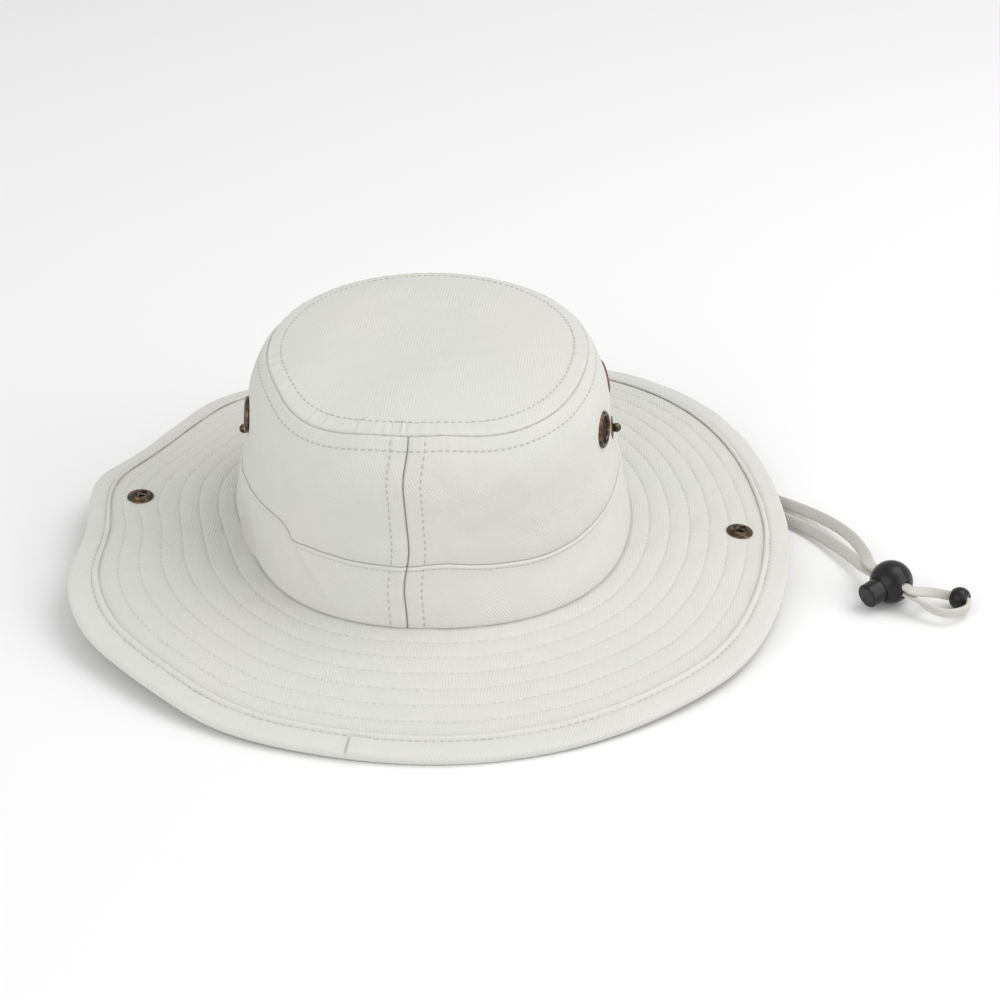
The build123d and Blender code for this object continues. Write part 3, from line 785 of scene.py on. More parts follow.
@dataclass(frozen=True)
class CrownShape:
    """Ovals of the crown at its seams and between them, and the cloth's relief on it."""

    heights: tuple[float, ...] = (0.0200, 0.0470, 0.07151, 0.09488, 0.1040)
    half_widths: tuple[float, ...] = (0.0875, 0.0828, 0.0798, 0.0752, 0.0700)
    half_depths: tuple[float, ...] = (0.0975, 0.0926, 0.0880, 0.0815, 0.0750)
    lean: float = -0.008
    tip_rise: float = 5.6 * MM
    cloth: float = 0.8 * MM
    side_slope: float = 1.12            # length down the side panel over its height
    tip_stitch: float = 6.6 * MM
    side_stitch: float = 6.2 * MM
    seam_stitch: float = 7.0 * MM

    @property
    def foot(self) -> float:
        """Height of the base seam."""
        return self.heights[0]

    @property
    def band_seam(self) -> float:
        """Height of the seam between band and side panels."""
        return self.heights[1]

    @property
    def top(self) -> float:
        """Height of the tip seam."""
        return self.heights[-1]

    @property
    def tip_span(self) -> float:
        """Length from the middle of the tip to its seam, between the long and the short way."""
        return (self.half_widths[-1] + self.half_depths[-1]) / 2

    @property
    def side_row(self) -> float:
        """Height of the stitches below the tip seam."""
        return self.top - self.side_stitch / self.side_slope

    def axes(self, height: Array) -> tuple[Array, Array]:
        """Half width and half depth: straight over the band, a spline over the side panels.

        Args:
            height: heights on the wall.

        Returns:
            Both half axes at each height.
        """
        share = (height - self.foot) / (self.band_seam - self.foot)
        result = []
        for values in (self.half_widths, self.half_depths):
            band = values[0] + (values[1] - values[0]) * share
            side = spline_through(height, self.heights[1:], values[1:])
            result.append(np.where(height < self.band_seam, band, side))
        return result[0], result[1]

    def oval(self, turn: Array, height: Array) -> tuple[Array, Array]:
        """Points and outward normals of the plain oval wall.

        The point is (a cos turn, lean + b sin turn, height); the normal is the gradient of the
        oval's equation, with the slopes of a and b taken over a short step of height.

        Args:
            turn: angle round the crown.
            height: height on the wall.

        Returns:
            Points and unit normals.
        """
        turn, height = paired(turn, height)
        step = 0.05 * MM
        a, b = self.axes(height)
        a2, b2 = self.axes(height + step)
        rise = self.lean / (self.top - self.foot)
        cos, sin = np.cos(turn), np.sin(turn)
        points = np.stack([a * cos, rise * (height - self.foot) + b * sin, height], -1)
        slope = cos ** 2 * (a2 - a) / step / a + sin ** 2 * (b2 - b) / step / b + sin * rise / b
        return points, unit(np.stack([cos / a, sin / b, -slope], -1))

    def _moved(self, turn: Array, height: Array) -> Array:
        """Points of the wall after its seams have strayed.

        The stray of the base, band and tip seams is blended by smooth steps of the height, and
        fades at the eyelets and studs.

        Args:
            turn: angle round the crown.
            height: height on the wall.

        Returns:
            The strayed points.
        """
        points, normals = self.oval(turn, height)
        lower = np.clip((height - self.foot) / (self.band_seam - self.foot), 0, 1)
        upper = np.clip((height - self.band_seam) / (self.top - self.band_seam), 0, 1)
        lower, upper = (share * share * (3 - 2 * share) for share in (lower, upper))
        strays = [drift.at(turn) for drift in (BASE_DRIFT, BAND_DRIFT, TIP_DRIFT)]
        weights = (1 - lower, lower * (1 - upper), upper)
        out, lift = (sum(w * stray[i] for w, stray in zip(weights, strays)) for i in (0, 1))
        fixed = 1 - (1 - calm(points, 16 * MM)) * bump_at(height - 70 * MM, 26 * MM)
        points[..., :2] += unit(normals[..., :2]) * (out * fixed)[..., None]
        points[..., 2] += lift * fixed
        return points

    def strayed(self, turn: Array, height: Array) -> tuple[Array, Array]:
        """Points and normals of the strayed wall; the normals are differences over short steps.

        Args:
            turn: angle round the crown.
            height: height on the wall.

        Returns:
            Points and unit normals.
        """
        turn, height = paired(turn, height)
        along = self._moved(turn + 0.002, height) - self._moved(turn - 0.002, height)
        upwards = self._moved(turn, height + 0.1 * MM) - self._moved(turn, height - 0.1 * MM)
        return self._moved(turn, height), unit(np.cross(along, upwards))

    def around(self, height: float, turns: tuple[float, float]) -> tuple[Array, Array]:
        """Fine angles of an oval and the length along it at each.

        Args:
            height: height of the oval.
            turns: first and last angle.

        Returns:
            The angles and the lengths.
        """
        turn = np.linspace(*turns, 3000)
        points, _ = self.oval(turn, np.full_like(turn, height))
        return turn, lengths_along(points)


CROWN = CrownShape()
SOFT_FOLDS = Waves(11, 0.045, 0.13, 9)
CRUMPLE = Waves(12, 0.011, 0.030, 12)
PUCKERS = Waves(13, 0.0030, 0.0085, 10)
TREMOR = Waves(14, 0.015, 0.06, 6)
PLEATS = Waves(15, 0.0028, 0.0042, 5)


def seam_relief(away: Array, stitch: float, pucker: Array, groove: float = 0.95 * MM) -> Array:
    """Relief of a turned seam: groove at the seam, raised allowance, dip under the stitches.

    Args:
        away: distance from the seam.
        stitch: distance of the stitch line.
        pucker: height of the puckers along the seam, about 1 high.
        groove: depth at the seam itself.

    Returns:
        Height over the plain cloth.
    """
    allowance = 0.32 * MM * shelf(away, stitch + 0.5 * MM, 0.5 * MM) * (1 - bump_at(away, 0.8 * MM))
    dip = -0.24 * MM * bump_at(away - stitch, 0.55 * MM)
    ripple = 0.19 * MM * pucker * bump_at(away - stitch * 0.5, stitch * 0.75)
    return allowance + dip + ripple - groove * bump_at(away, 0.5 * MM)


class CrownRelief:
    """Cloth relief of the side panels, the band and the tip."""

    FOLD_RADIUS = 0.09
    SIDE_RADIUS = 75 * MM
    BAND_RADIUS = 85 * MM
    TIP_RADIUS = 72 * MM
    CREASE_TURN = math.radians(231.0)

    @classmethod
    def folds(cls, turn: Array, height: Array, points: Array) -> Array:
        """Soft hollows and crumples, and the slanting crease left of the front.

        Slow waves and short ones over (length round, height); the crease is a bell across a
        slanting line, with a low swelling beside it.

        Args:
            turn: angle round the crown.
            height: height on the wall.
            points: the same places as points.

        Returns:
            Height over the plain cloth.
        """
        slow = 0.75 * MM * SOFT_FOLDS.wall(turn, cls.FOLD_RADIUS, height * 0.7)
        short = 0.20 * MM * CRUMPLE.wall(turn, cls.FOLD_RADIUS, height)
        slant = (turn - cls.CREASE_TURN) * cls.BAND_RADIUS + (height - 46 * MM) * 1.1
        crease = bump_at(slant, 2.6 * MM) - 0.8 * bump_at(slant - 5 * MM, 4 * MM)
        crease = crease * bump_at(height - 39 * MM, 11 * MM) * bump_at(turn - math.radians(235.0), 0.28)
        free = bump_at(height - (CROWN.foot + CROWN.top) / 2, 48 * MM)
        return (slow + short) * free * calm(points) - 1.2 * MM * crease

    @classmethod
    def side(cls, turn: Array, height: Array) -> tuple[Array, Array]:
        """Points and normals of the side panels' outer face.

        Args:
            turn: angle round the crown.
            height: height on the wall.

        Returns:
            Points and unit normals.
        """
        points, normals = CROWN.strayed(turn, height)
        from_top = (CROWN.top - height) * CROWN.side_slope
        from_centre = np.abs(points[..., 0])
        lift = cls.folds(turn, height, points)
        lift = lift + seam_relief(from_top, CROWN.side_stitch, PUCKERS.ring(turn, cls.SIDE_RADIUS))
        lift = lift + seam_relief(from_centre, CROWN.seam_stitch, PUCKERS.along(height), 0.7 * MM)
        tuck = bump_at(height - CROWN.band_seam, 1.1 * MM) * 0.5 * MM
        puff = 0.5 * MM * bump_at(height - CROWN.band_seam - 7 * MM, 6 * MM)
        return points + normals * (lift + puff - tuck)[..., None], normals

    @classmethod
    def band(cls, turn: Array, height: Array) -> tuple[Array, Array]:
        """Points and normals of the band's outer face, with its turned upper edge.

        Args:
            turn: angle round the crown.
            height: height on the wall.

        Returns:
            Points and unit normals.
        """
        points, normals = CROWN.strayed(turn, height)
        below = CROWN.band_seam + 0.6 * MM - height
        from_centre = np.abs(points[..., 0])
        lift = cls.folds(turn, height, points)
        lift = lift + seam_relief(from_centre, CROWN.seam_stitch, PUCKERS.along(height), 0.7 * MM)
        edge = 0.62 * MM * shelf(below, 1.5 * MM, 0.25 * MM) * (1 - bump_at(below, 0.45 * MM))
        dip = 0.16 * MM * bump_at(below - 2.0 * MM, 0.5 * MM)
        ripple = 0.08 * MM * PUCKERS.ring(turn, cls.BAND_RADIUS) * bump_at(below, 5 * MM)
        foot = 0.5 * MM * bump_at(height - CROWN.foot, 0.9 * MM)
        return points + normals * (lift + 0.3 * MM + edge - dip + ripple - foot)[..., None], normals

    @staticmethod
    def wander(points: Array) -> Array:
        """Sways the front centre seam a little: a sideways wave of the height.

        Args:
            points: points of the wall.

        Returns:
            The moved points.
        """
        sway = 0.8 * MM * TREMOR.along(points[..., 2]) + 0.9 * MM * bump_at(points[..., 2] - 0.092, 0.014)
        near = bump_at(points[..., 0], 16 * MM) * (points[..., 1] < 0)
        moved = points.copy()
        moved[..., 0] -= sway * near
        return moved

    @classmethod
    def tip(cls, turn: Array, share: Array) -> tuple[Array, Array]:
        """Points and normals of the tip panel: a low dome, rise times 1 - share to the fourth.

        Args:
            turn: angle round the crown.
            share: 0 at the middle, 1 at the seam.

        Returns:
            Points and unit normals.
        """
        turn, share = paired(turn, share)
        half_width, half_depth = CROWN.half_widths[-1], CROWN.half_depths[-1]
        x, y = half_width * share * np.cos(turn), half_depth * share * np.sin(turn)
        away = (1 - share) * CROWN.tip_span
        rise = CROWN.tip_rise * (1 - share ** 4)
        slope = 4 * CROWN.tip_rise * share ** 3 / half_width
        normals = unit(np.stack([slope * np.cos(turn), slope * np.sin(turn), np.ones_like(share)], -1))
        slow = 0.55 * MM * SOFT_FOLDS.over(x, y) * shelf(share, 0.8, 0.1)
        sag = -0.9 * MM * bump_at(np.hypot(x + 0.012, y + 0.006), 0.034)
        short = 0.10 * MM * CRUMPLE.over(x, y) * shelf(share, 0.9, 0.05)
        gather = 1 + 1.9 * bump_at(np.mod(turn, 2 * math.pi) - math.radians(265.0), 0.42)
        pleats = (PUCKERS.ring(turn, cls.TIP_RADIUS) + 0.6 * PLEATS.ring(turn, cls.TIP_RADIUS)) * gather
        lift = slow + sag + short + seam_relief(away, CROWN.tip_stitch, pleats)
        out, up = TIP_DRIFT.at(turn)
        pull = share ** 3
        x, y = x + out * pull * np.cos(turn), y + out * pull * np.sin(turn)
        points = np.stack([x, y + CROWN.lean, CROWN.top + 0.1 * MM + rise + up * pull], -1)
        return points + normals * lift[..., None], normals


@dataclass(frozen=True)
class BrimShape:
    """The brim's upper face: straight sections from the base seam to a rim that curls up."""

    reach: float = 75.0 * MM
    thickness: float = 2.4 * MM
    rim_top: float = 3.3 * MM
    rise_right: float = 9.0 * MM
    rise_left: float = 18.0 * MM
    rows: tuple[float, ...] = (8.8 * MM, 18.4 * MM, 28.0 * MM, 37.4 * MM, 46.6 * MM, 55.4 * MM)
    binding_start: float = 63.6 * MM
    cover: float = 0.9 * MM
    ground: float = 0.9 * MM
    wave_radius: float = 50 * MM
    middle_radius: float = 125 * MM

    @staticmethod
    def outwards(turn: Array) -> Array:
        """Level unit vectors that point out from the oval of the base seam."""
        a, b = CROWN.half_widths[0], CROWN.half_depths[0]
        return unit(np.stack([np.cos(turn) / a, np.sin(turn) / b], -1))

    def base(self, turn: Array, out: Array) -> tuple[Array, Array]:
        """Points and upward normals of the plain brim.

        Out from the oval along its normal; the height falls in a straight line from the seam
        to the rim, whose height is the lowest plus a rise times cosine squared.

        Args:
            turn: angle round the hat.
            out: reach from the base seam.

        Returns:
            Points and unit normals.
        """
        turn, out = paired(turn, out)
        cos, sin = np.cos(turn), np.sin(turn)
        a, b = CROWN.half_widths[0], CROWN.half_depths[0]
        way = self.outwards(turn)
        rim = self.rim_top + np.where(cos > 0, self.rise_right, self.rise_left) * cos ** 2
        slope = (rim - CROWN.foot) / self.reach
        x, y = a * cos + way[..., 0] * out, b * sin + way[..., 1] * out
        points = np.stack([x, y, CROWN.foot + slope * np.maximum(out, 0)], -1)
        return points, unit(np.stack([-slope * way[..., 0], -slope * way[..., 1], np.ones_like(x)], -1))

    def wave(self, turn: Array, out: Array, points: Array) -> Array:
        """Slow waves of the brim that grow towards the rim, and its belly where it lies low.

        Args:
            turn: angle round the hat.
            out: reach from the base seam.
            points: the same places on the plain brim.

        Returns:
            Height over the plain brim.
        """
        share = np.clip(out / self.reach, 0, 1.1)
        raised = np.cos(turn) ** 2
        slow = 0.8 * MM * TREMOR.ring(turn, self.wave_radius) * raised * share ** 1.5
        belly = 1.4 * MM * np.sin(math.pi * np.clip(share, 0, 1)) * (1 - raised)
        return slow * calm(points, 18 * MM) + belly

    def stray(self, turn: Array, out: Array, points: Array) -> tuple[Array, Array]:
        """Stray of the brim: the base seam's near it, the rim's towards the rim.

        Args:
            turn: angle round the hat.
            out: reach from the base seam.
            points: the same places on the plain brim.

        Returns:
            Outward and upward stray.
        """
        share = np.clip(out / self.reach, 0, 1.02)
        base, rim = BASE_DRIFT.at(turn), RIM_DRIFT.at(turn)
        still = 1 - (1 - calm(points, 14 * MM)) * shelf(share, 0.86, 0.08)
        near, far = 1 - np.clip(share, 0, 1), share ** 1.4
        return tuple((base[i] * near + rim[i] * far) * still for i in (0, 1))

    def quilting(self, turn: Array, out: Array, points: Array) -> Array:
        """Relief between the rows of stitches: low pads, with a dip and puckers at each row.

        Args:
            turn: angle round the hat.
            out: reach from the base seam.
            points: the same places on the plain brim.

        Returns:
            Height over the plain brim.
        """
        nearest = np.min(np.abs(np.asarray(out)[..., None] - np.array(self.rows)), axis=-1)
        pad = 0.24 * MM * (1 - bump_at(nearest, 2.2 * MM))
        dip = -0.32 * MM * bump_at(nearest, 0.5 * MM)
        pucker = 0.11 * MM * PUCKERS.wall(turn, self.middle_radius, out) * bump_at(nearest, 3.5 * MM)
        rough = 0.15 * MM * CRUMPLE.wall(turn, self.middle_radius, out)
        open_part = shelf(out, self.binding_start - 1 * MM, 1 * MM) * calm(points, 8 * MM)
        return (pad + dip + pucker + rough) * open_part

    def face(self, turn: Array, out: Array, depth: float = 0.0, under: bool = False) -> tuple[Array, Array]:
        """Points and normals of a face of the brim.

        Args:
            turn: angle round the hat.
            out: reach from the base seam.
            depth: how far below the brim's top the face lies.
            under: whether the quilting shows the other way up.

        Returns:
            Points and upward normals.
        """
        turn, out = paired(turn, out)
        points, normals = self.base(turn, out)
        relief = self.quilting(turn, out, points) * (-1 if under else 1)
        sideways, upwards = self.stray(turn, out, points)
        upwards = upwards + self.wave(turn, out, points)
        points = points + normals * (relief - depth)[..., None]
        points[..., :2] += self.outwards(turn) * sideways[..., None]
        points[..., 2] = np.maximum(points[..., 2] + upwards, self.ground)
        return points, normals


BRIM = BrimShape()


# ------------------------------------------------------------------ stitches

@dataclass(frozen=True)
class Stitch:
    """One lock stitch: a low arch of thread whose ends dip into the cloth."""

    length: float = 2.35 * MM
    pitch: float = 3.0 * MM
    radius: float = 0.24 * MM
    arch: float = 0.26 * MM
    sides: int = 6
    rings: int = 5

    def template(self) -> Array:
        """Points of one stitch: rings along X, thinner at both ends, on an arch in Z.

        Returns:
            Points, ring by ring.
        """
        place = np.linspace(-0.5, 0.5, self.rings)
        girth = self.radius * np.sqrt(np.clip(1 - (2 * place) ** 4, 0.06, 1))
        turn = np.linspace(0, 2 * math.pi, self.sides, endpoint=False)
        x = np.repeat(place * self.length, self.sides)
        y = (girth[:, None] * np.cos(turn)).ravel()
        z = (girth[:, None] * np.sin(turn)).ravel() * 0.8
        z += np.repeat(self.arch * np.cos(math.pi * place) - 0.1 * MM, self.sides)
        return np.stack([x, y, z], -1)

    def faces(self, count: int) -> list[list[int]]:
        """Walls and both ends of many stitches, numbered one stitch after another.

        Args:
            count: number of stitches.

        Returns:
            Vertex numbers of each face.
        """
        size = self.rings * self.sides
        first = (np.arange(count) * size)[:, None, None]
        walls = (grid_faces(self.rings, self.sides, True)[:, ::-1] + first).reshape(-1, 4)
        ends = np.stack([np.arange(self.sides), np.arange(size)[::-1][:self.sides]])
        return walls.tolist() + (ends + first).reshape(-1, self.sides).tolist()

    def place(self, points: Array, normals: Array) -> Array:
        """Stitches at even steps along one line, turned to its tangent and the cloth's normal.

        Args:
            points: points of the line.
            normals: the cloth's normals there.

        Returns:
            Points of every stitch.
        """
        shape, length = self.template(), lengths_along(points)
        count = max(1, int(length[-1] / self.pitch))
        at = (np.arange(count) + 0.5) * length[-1] / count
        centre, normal = read_along(length, points, at), read_along(length, normals, at)
        way = unit(read_along(length, points, at + 0.6 * MM) - read_along(length, points, at - 0.6 * MM))
        side = unit(np.cross(normal, way))
        up = np.cross(way, side)
        lean = 0.08 * np.sin(np.arange(count) * 2.4)[:, None]
        way, side = way + side * lean, side - way * lean
        axes = np.stack([way, side, up], 1)
        return centre[:, None] + shape @ axes

    def sew(self, name: str, lines: Sequence[tuple[Array, Array]]) -> bpy.types.Object:
        """Stitches along lines of points.

        Args:
            name: the piece's name.
            lines: pairs of points and normals along each line.

        Returns:
            One piece with all the stitches.
        """
        placed = np.concatenate([self.place(*line) for line in lines])
        return new_object(name, placed, self.faces(len(placed)), weld=False, sharp=60.0)


@dataclass(frozen=True)
class Fold:
    """Near and far lines of the brim's fold; the pieces are not bent across them."""

    near: float = 88.0 * MM
    far: float = 103.0 * MM

    def across(self, piece: bpy.types.Object, side: Side) -> None:
        """Bakes a piece's transform into its mesh; the piece is not bent across the fold."""
        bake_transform(piece)


# ------------------------------------------------------------------ sub-assemblies

@dataclass
class Crown:
    """Tip, side panels, band, sweatband and their topstitching."""

    wardrobe: Wardrobe
    stitch: Stitch = field(default_factory=lambda: Stitch(radius=0.27 * MM))
    edge_stitch: Stitch = field(default_factory=lambda: Stitch(
        length=1.9 * MM, pitch=2.5 * MM, radius=0.17 * MM, arch=0.14 * MM))
    step: float = 1.35 * MM
    tip_columns: int = 340
    band_over: float = 0.6 * MM
    side_under: float = 1.2 * MM
    centre_gap: float = 0.05 * MM
    eyelet_hole: float = 6.9 * MM
    sweatband_columns: int = 360
    sweatband_gap: float = 1.15 * MM
    sweatband_wall: float = 0.96 * MM
    sweatband_height: float = 32 * MM

    def build(self) -> None:
        """Makes every piece of the crown."""
        self.make_tip()
        for side in Side:
            self.make_side(side)
            self.make_band(side)
        self.make_sweatband()
        self.make_topstitching()

    def _finish(self, piece: bpy.types.Object, finish: str, slot: str, *nodes: str) -> None:
        """Dresses a piece, rides it on the root and hides the CAD nodes that it replaces.

        Args:
            piece: the new piece.
            finish: name of its finish.
            slot: its material slot in the part; not used.
            nodes: the CAD nodes that it replaces.
        """
        self.wardrobe.dress(piece, finish)
        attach(piece, "root")
        if nodes:
            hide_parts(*nodes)
        LOG.info("crown piece %s: %d faces", piece.name, len(piece.data.polygons))

    def make_tip(self) -> None:
        """Tip panel: rings from the middle to the seam, mapped flat from above."""
        away = stations(CROWN.tip_span, (0.5 * MM, CROWN.tip_stitch), self.step)
        share = (1 - away / CROWN.tip_span)[::-1]
        turn = np.linspace(0, 2 * math.pi, self.tip_columns, endpoint=False)
        outer, normals = CrownRelief.tip(turn[None, :], share[:, None])
        inner = outer - normals * CROWN.cloth
        # painted shade along the tip seam
        crease = 0.6 * bump_at((1 - share[:, None]) * CROWN.tip_span, 0.26 * MM)
        piece = closed_slab("tip_panel", outer, inner, outer[..., :2], wrap=True, crease=crease)
        self._finish(piece, "tip", "twill", "crown_tip")

    def _half(self, side: Side, bottom: float, top: float, marks: Sequence[float],
              surface: Callable[[Array, Array], tuple[Array, Array]]) -> tuple[Array, Array, Array, Array]:
        """Grid of one half of the wall.

        Args:
            side: which half.
            bottom: lowest height.
            top: greatest height.
            marks: heights that need fine rows.
            surface: function of turn and height giving points and normals.

        Returns:
            Outer points, inner points, texture coordinates and crease of the centre seams, the painted shade
            along them.
        """
        turn, length = CROWN.around((bottom + top) / 2, side.turns())
        ends = (0.4 * MM, CROWN.seam_stitch)
        far = [length[-1] - mark for mark in ends]
        columns = stations(length[-1], (*ends, *far), self.step)
        rows = stations(top - bottom, [mark - bottom for mark in marks], self.step) + bottom
        turns = np.interp(columns, length, turn)
        outer, normals = surface(turns[None, :], rows[:, None])
        outer[:, [0, -1], 0] = self.centre_gap * side.value
        inner = outer - normals * CROWN.cloth
        inner[:, [0, -1], 0] = self.centre_gap * side.value
        # painted shade along the centre seams
        crease = 0.55 * bump_at(np.abs(outer[..., 0]), 0.3 * MM)
        uv = cloth_map(columns[None, :], rows[:, None])
        return CrownRelief.wander(outer), CrownRelief.wander(inner), uv, crease

    def make_side(self, side: Side) -> None:
        """Side panel between the band seam and the tip seam.

        Args:
            side: which half.
        """
        marks = (CROWN.top - 0.4 * MM, CROWN.side_row, CROWN.band_seam)
        outer, inner, uv, crease = self._half(side, CROWN.band_seam - self.side_under, CROWN.top, marks,
                                              CrownRelief.side)
        levels = uv[:, :1, 1]
        # painted shade at the tip seam and where the panel runs under the band's turned edge
        crease = np.maximum(crease, 0.6 * bump_at(levels - CROWN.top, 0.28 * MM))
        crease = np.maximum(crease, 0.6 * shelf(levels - CROWN.band_seam, 0.95 * MM, 0.15 * MM))
        holes = [(centre, self.eyelet_hole) for centre in middles_of("eyelet_ring")]
        piece = closed_slab(f"side_panel_{side.word}", outer, inner, uv, holes=holes, crease=crease)
        self._finish(piece, "side", "twill", f"crown_side_{side.word}")

    def make_band(self, side: Side) -> None:
        """Half of the band, its turned edge lying over the side panel.

        Args:
            side: which half.
        """
        top = CROWN.band_seam + self.band_over
        marks = (top - 0.5 * MM, top - 2.0 * MM, CROWN.foot + 0.3 * MM)
        outer, inner, uv, crease = self._half(side, CROWN.foot, top, marks, CrownRelief.band)
        # painted shade at the base seam
        crease = np.maximum(crease, 0.6 * shelf(uv[:, :1, 1] - CROWN.foot, 0.4 * MM, 0.12 * MM))
        piece = closed_slab(f"band_{side.word}", outer, inner, uv, crease=crease)
        self._finish(piece, "band", "twill", f"crown_band_{side.word}")

    def make_sweatband(self) -> None:
        """Padded strip inside the band, a little crowned, with a rounded upper edge."""
        height, radius = self.sweatband_height, CrownRelief.BAND_RADIUS
        rows = stations(height, (0.3 * MM, height - 0.3 * MM, height - 2.5 * MM), 1.6 * MM)
        turn = np.linspace(0, 2 * math.pi, self.sweatband_columns, endpoint=False)
        points, normals = CROWN.oval(turn[None, :], (CROWN.foot + 0.2 * MM + rows)[:, None])
        level = rows[:, None] / height
        crowned = 0.25 * MM * np.sin(math.pi * level) + 0.1 * MM * PUCKERS.ring(turn, radius)[None, :] * level
        back = self.sweatband_gap + 0.5 * MM * shelf(1 - level, 0.1, 0.05)
        outer = points - normals * back[..., None]
        inner = outer - normals * (self.sweatband_wall + crowned)[..., None]
        uv = cloth_map(turn[None, :] * radius, rows[:, None])
        piece = closed_slab("sweatband_strip", outer, inner, uv, wrap=True)
        self._finish(piece, "lining", "sweatband_cloth", "sweatband")

    def make_topstitching(self) -> None:
        """Rows beside the tip seam, down the centre seams and under the band's edge."""
        turn = np.linspace(0, 2 * math.pi, 1600)
        tip_row = CrownRelief.tip(turn, np.full_like(turn, 1 - CROWN.tip_stitch / CROWN.tip_span))
        side_row = CrownRelief.side(turn, np.full_like(turn, CROWN.side_row))
        edge_row = CrownRelief.band(turn, np.full_like(turn, CROWN.band_seam - 1.4 * MM))
        panels = ((CrownRelief.side, CROWN.band_seam + 1 * MM, CROWN.top - 1.5 * MM),
                  (CrownRelief.band, CROWN.foot + 1 * MM, CROWN.band_seam - 0.4 * MM))
        centre_rows = []
        for middle, way, (surface, low, high) in itertools.product((FRONT, REAR), (-1, 1), panels):
            height = np.linspace(low, high, 200)
            half_width, _ = CROWN.axes(height)
            points, normals = surface(middle + way * np.arcsin(CROWN.seam_stitch / half_width), height)
            centre_rows.append((CrownRelief.wander(points), normals))
        for name, stitch, rows in (("stitches_tip_seam", self.stitch, [tip_row, side_row]),
                                   ("stitches_band_edge", self.edge_stitch, [edge_row]),
                                   ("stitches_centre_seams", self.stitch, centre_rows)):
            self._finish(stitch.sew(name, rows), "thread", "twill")


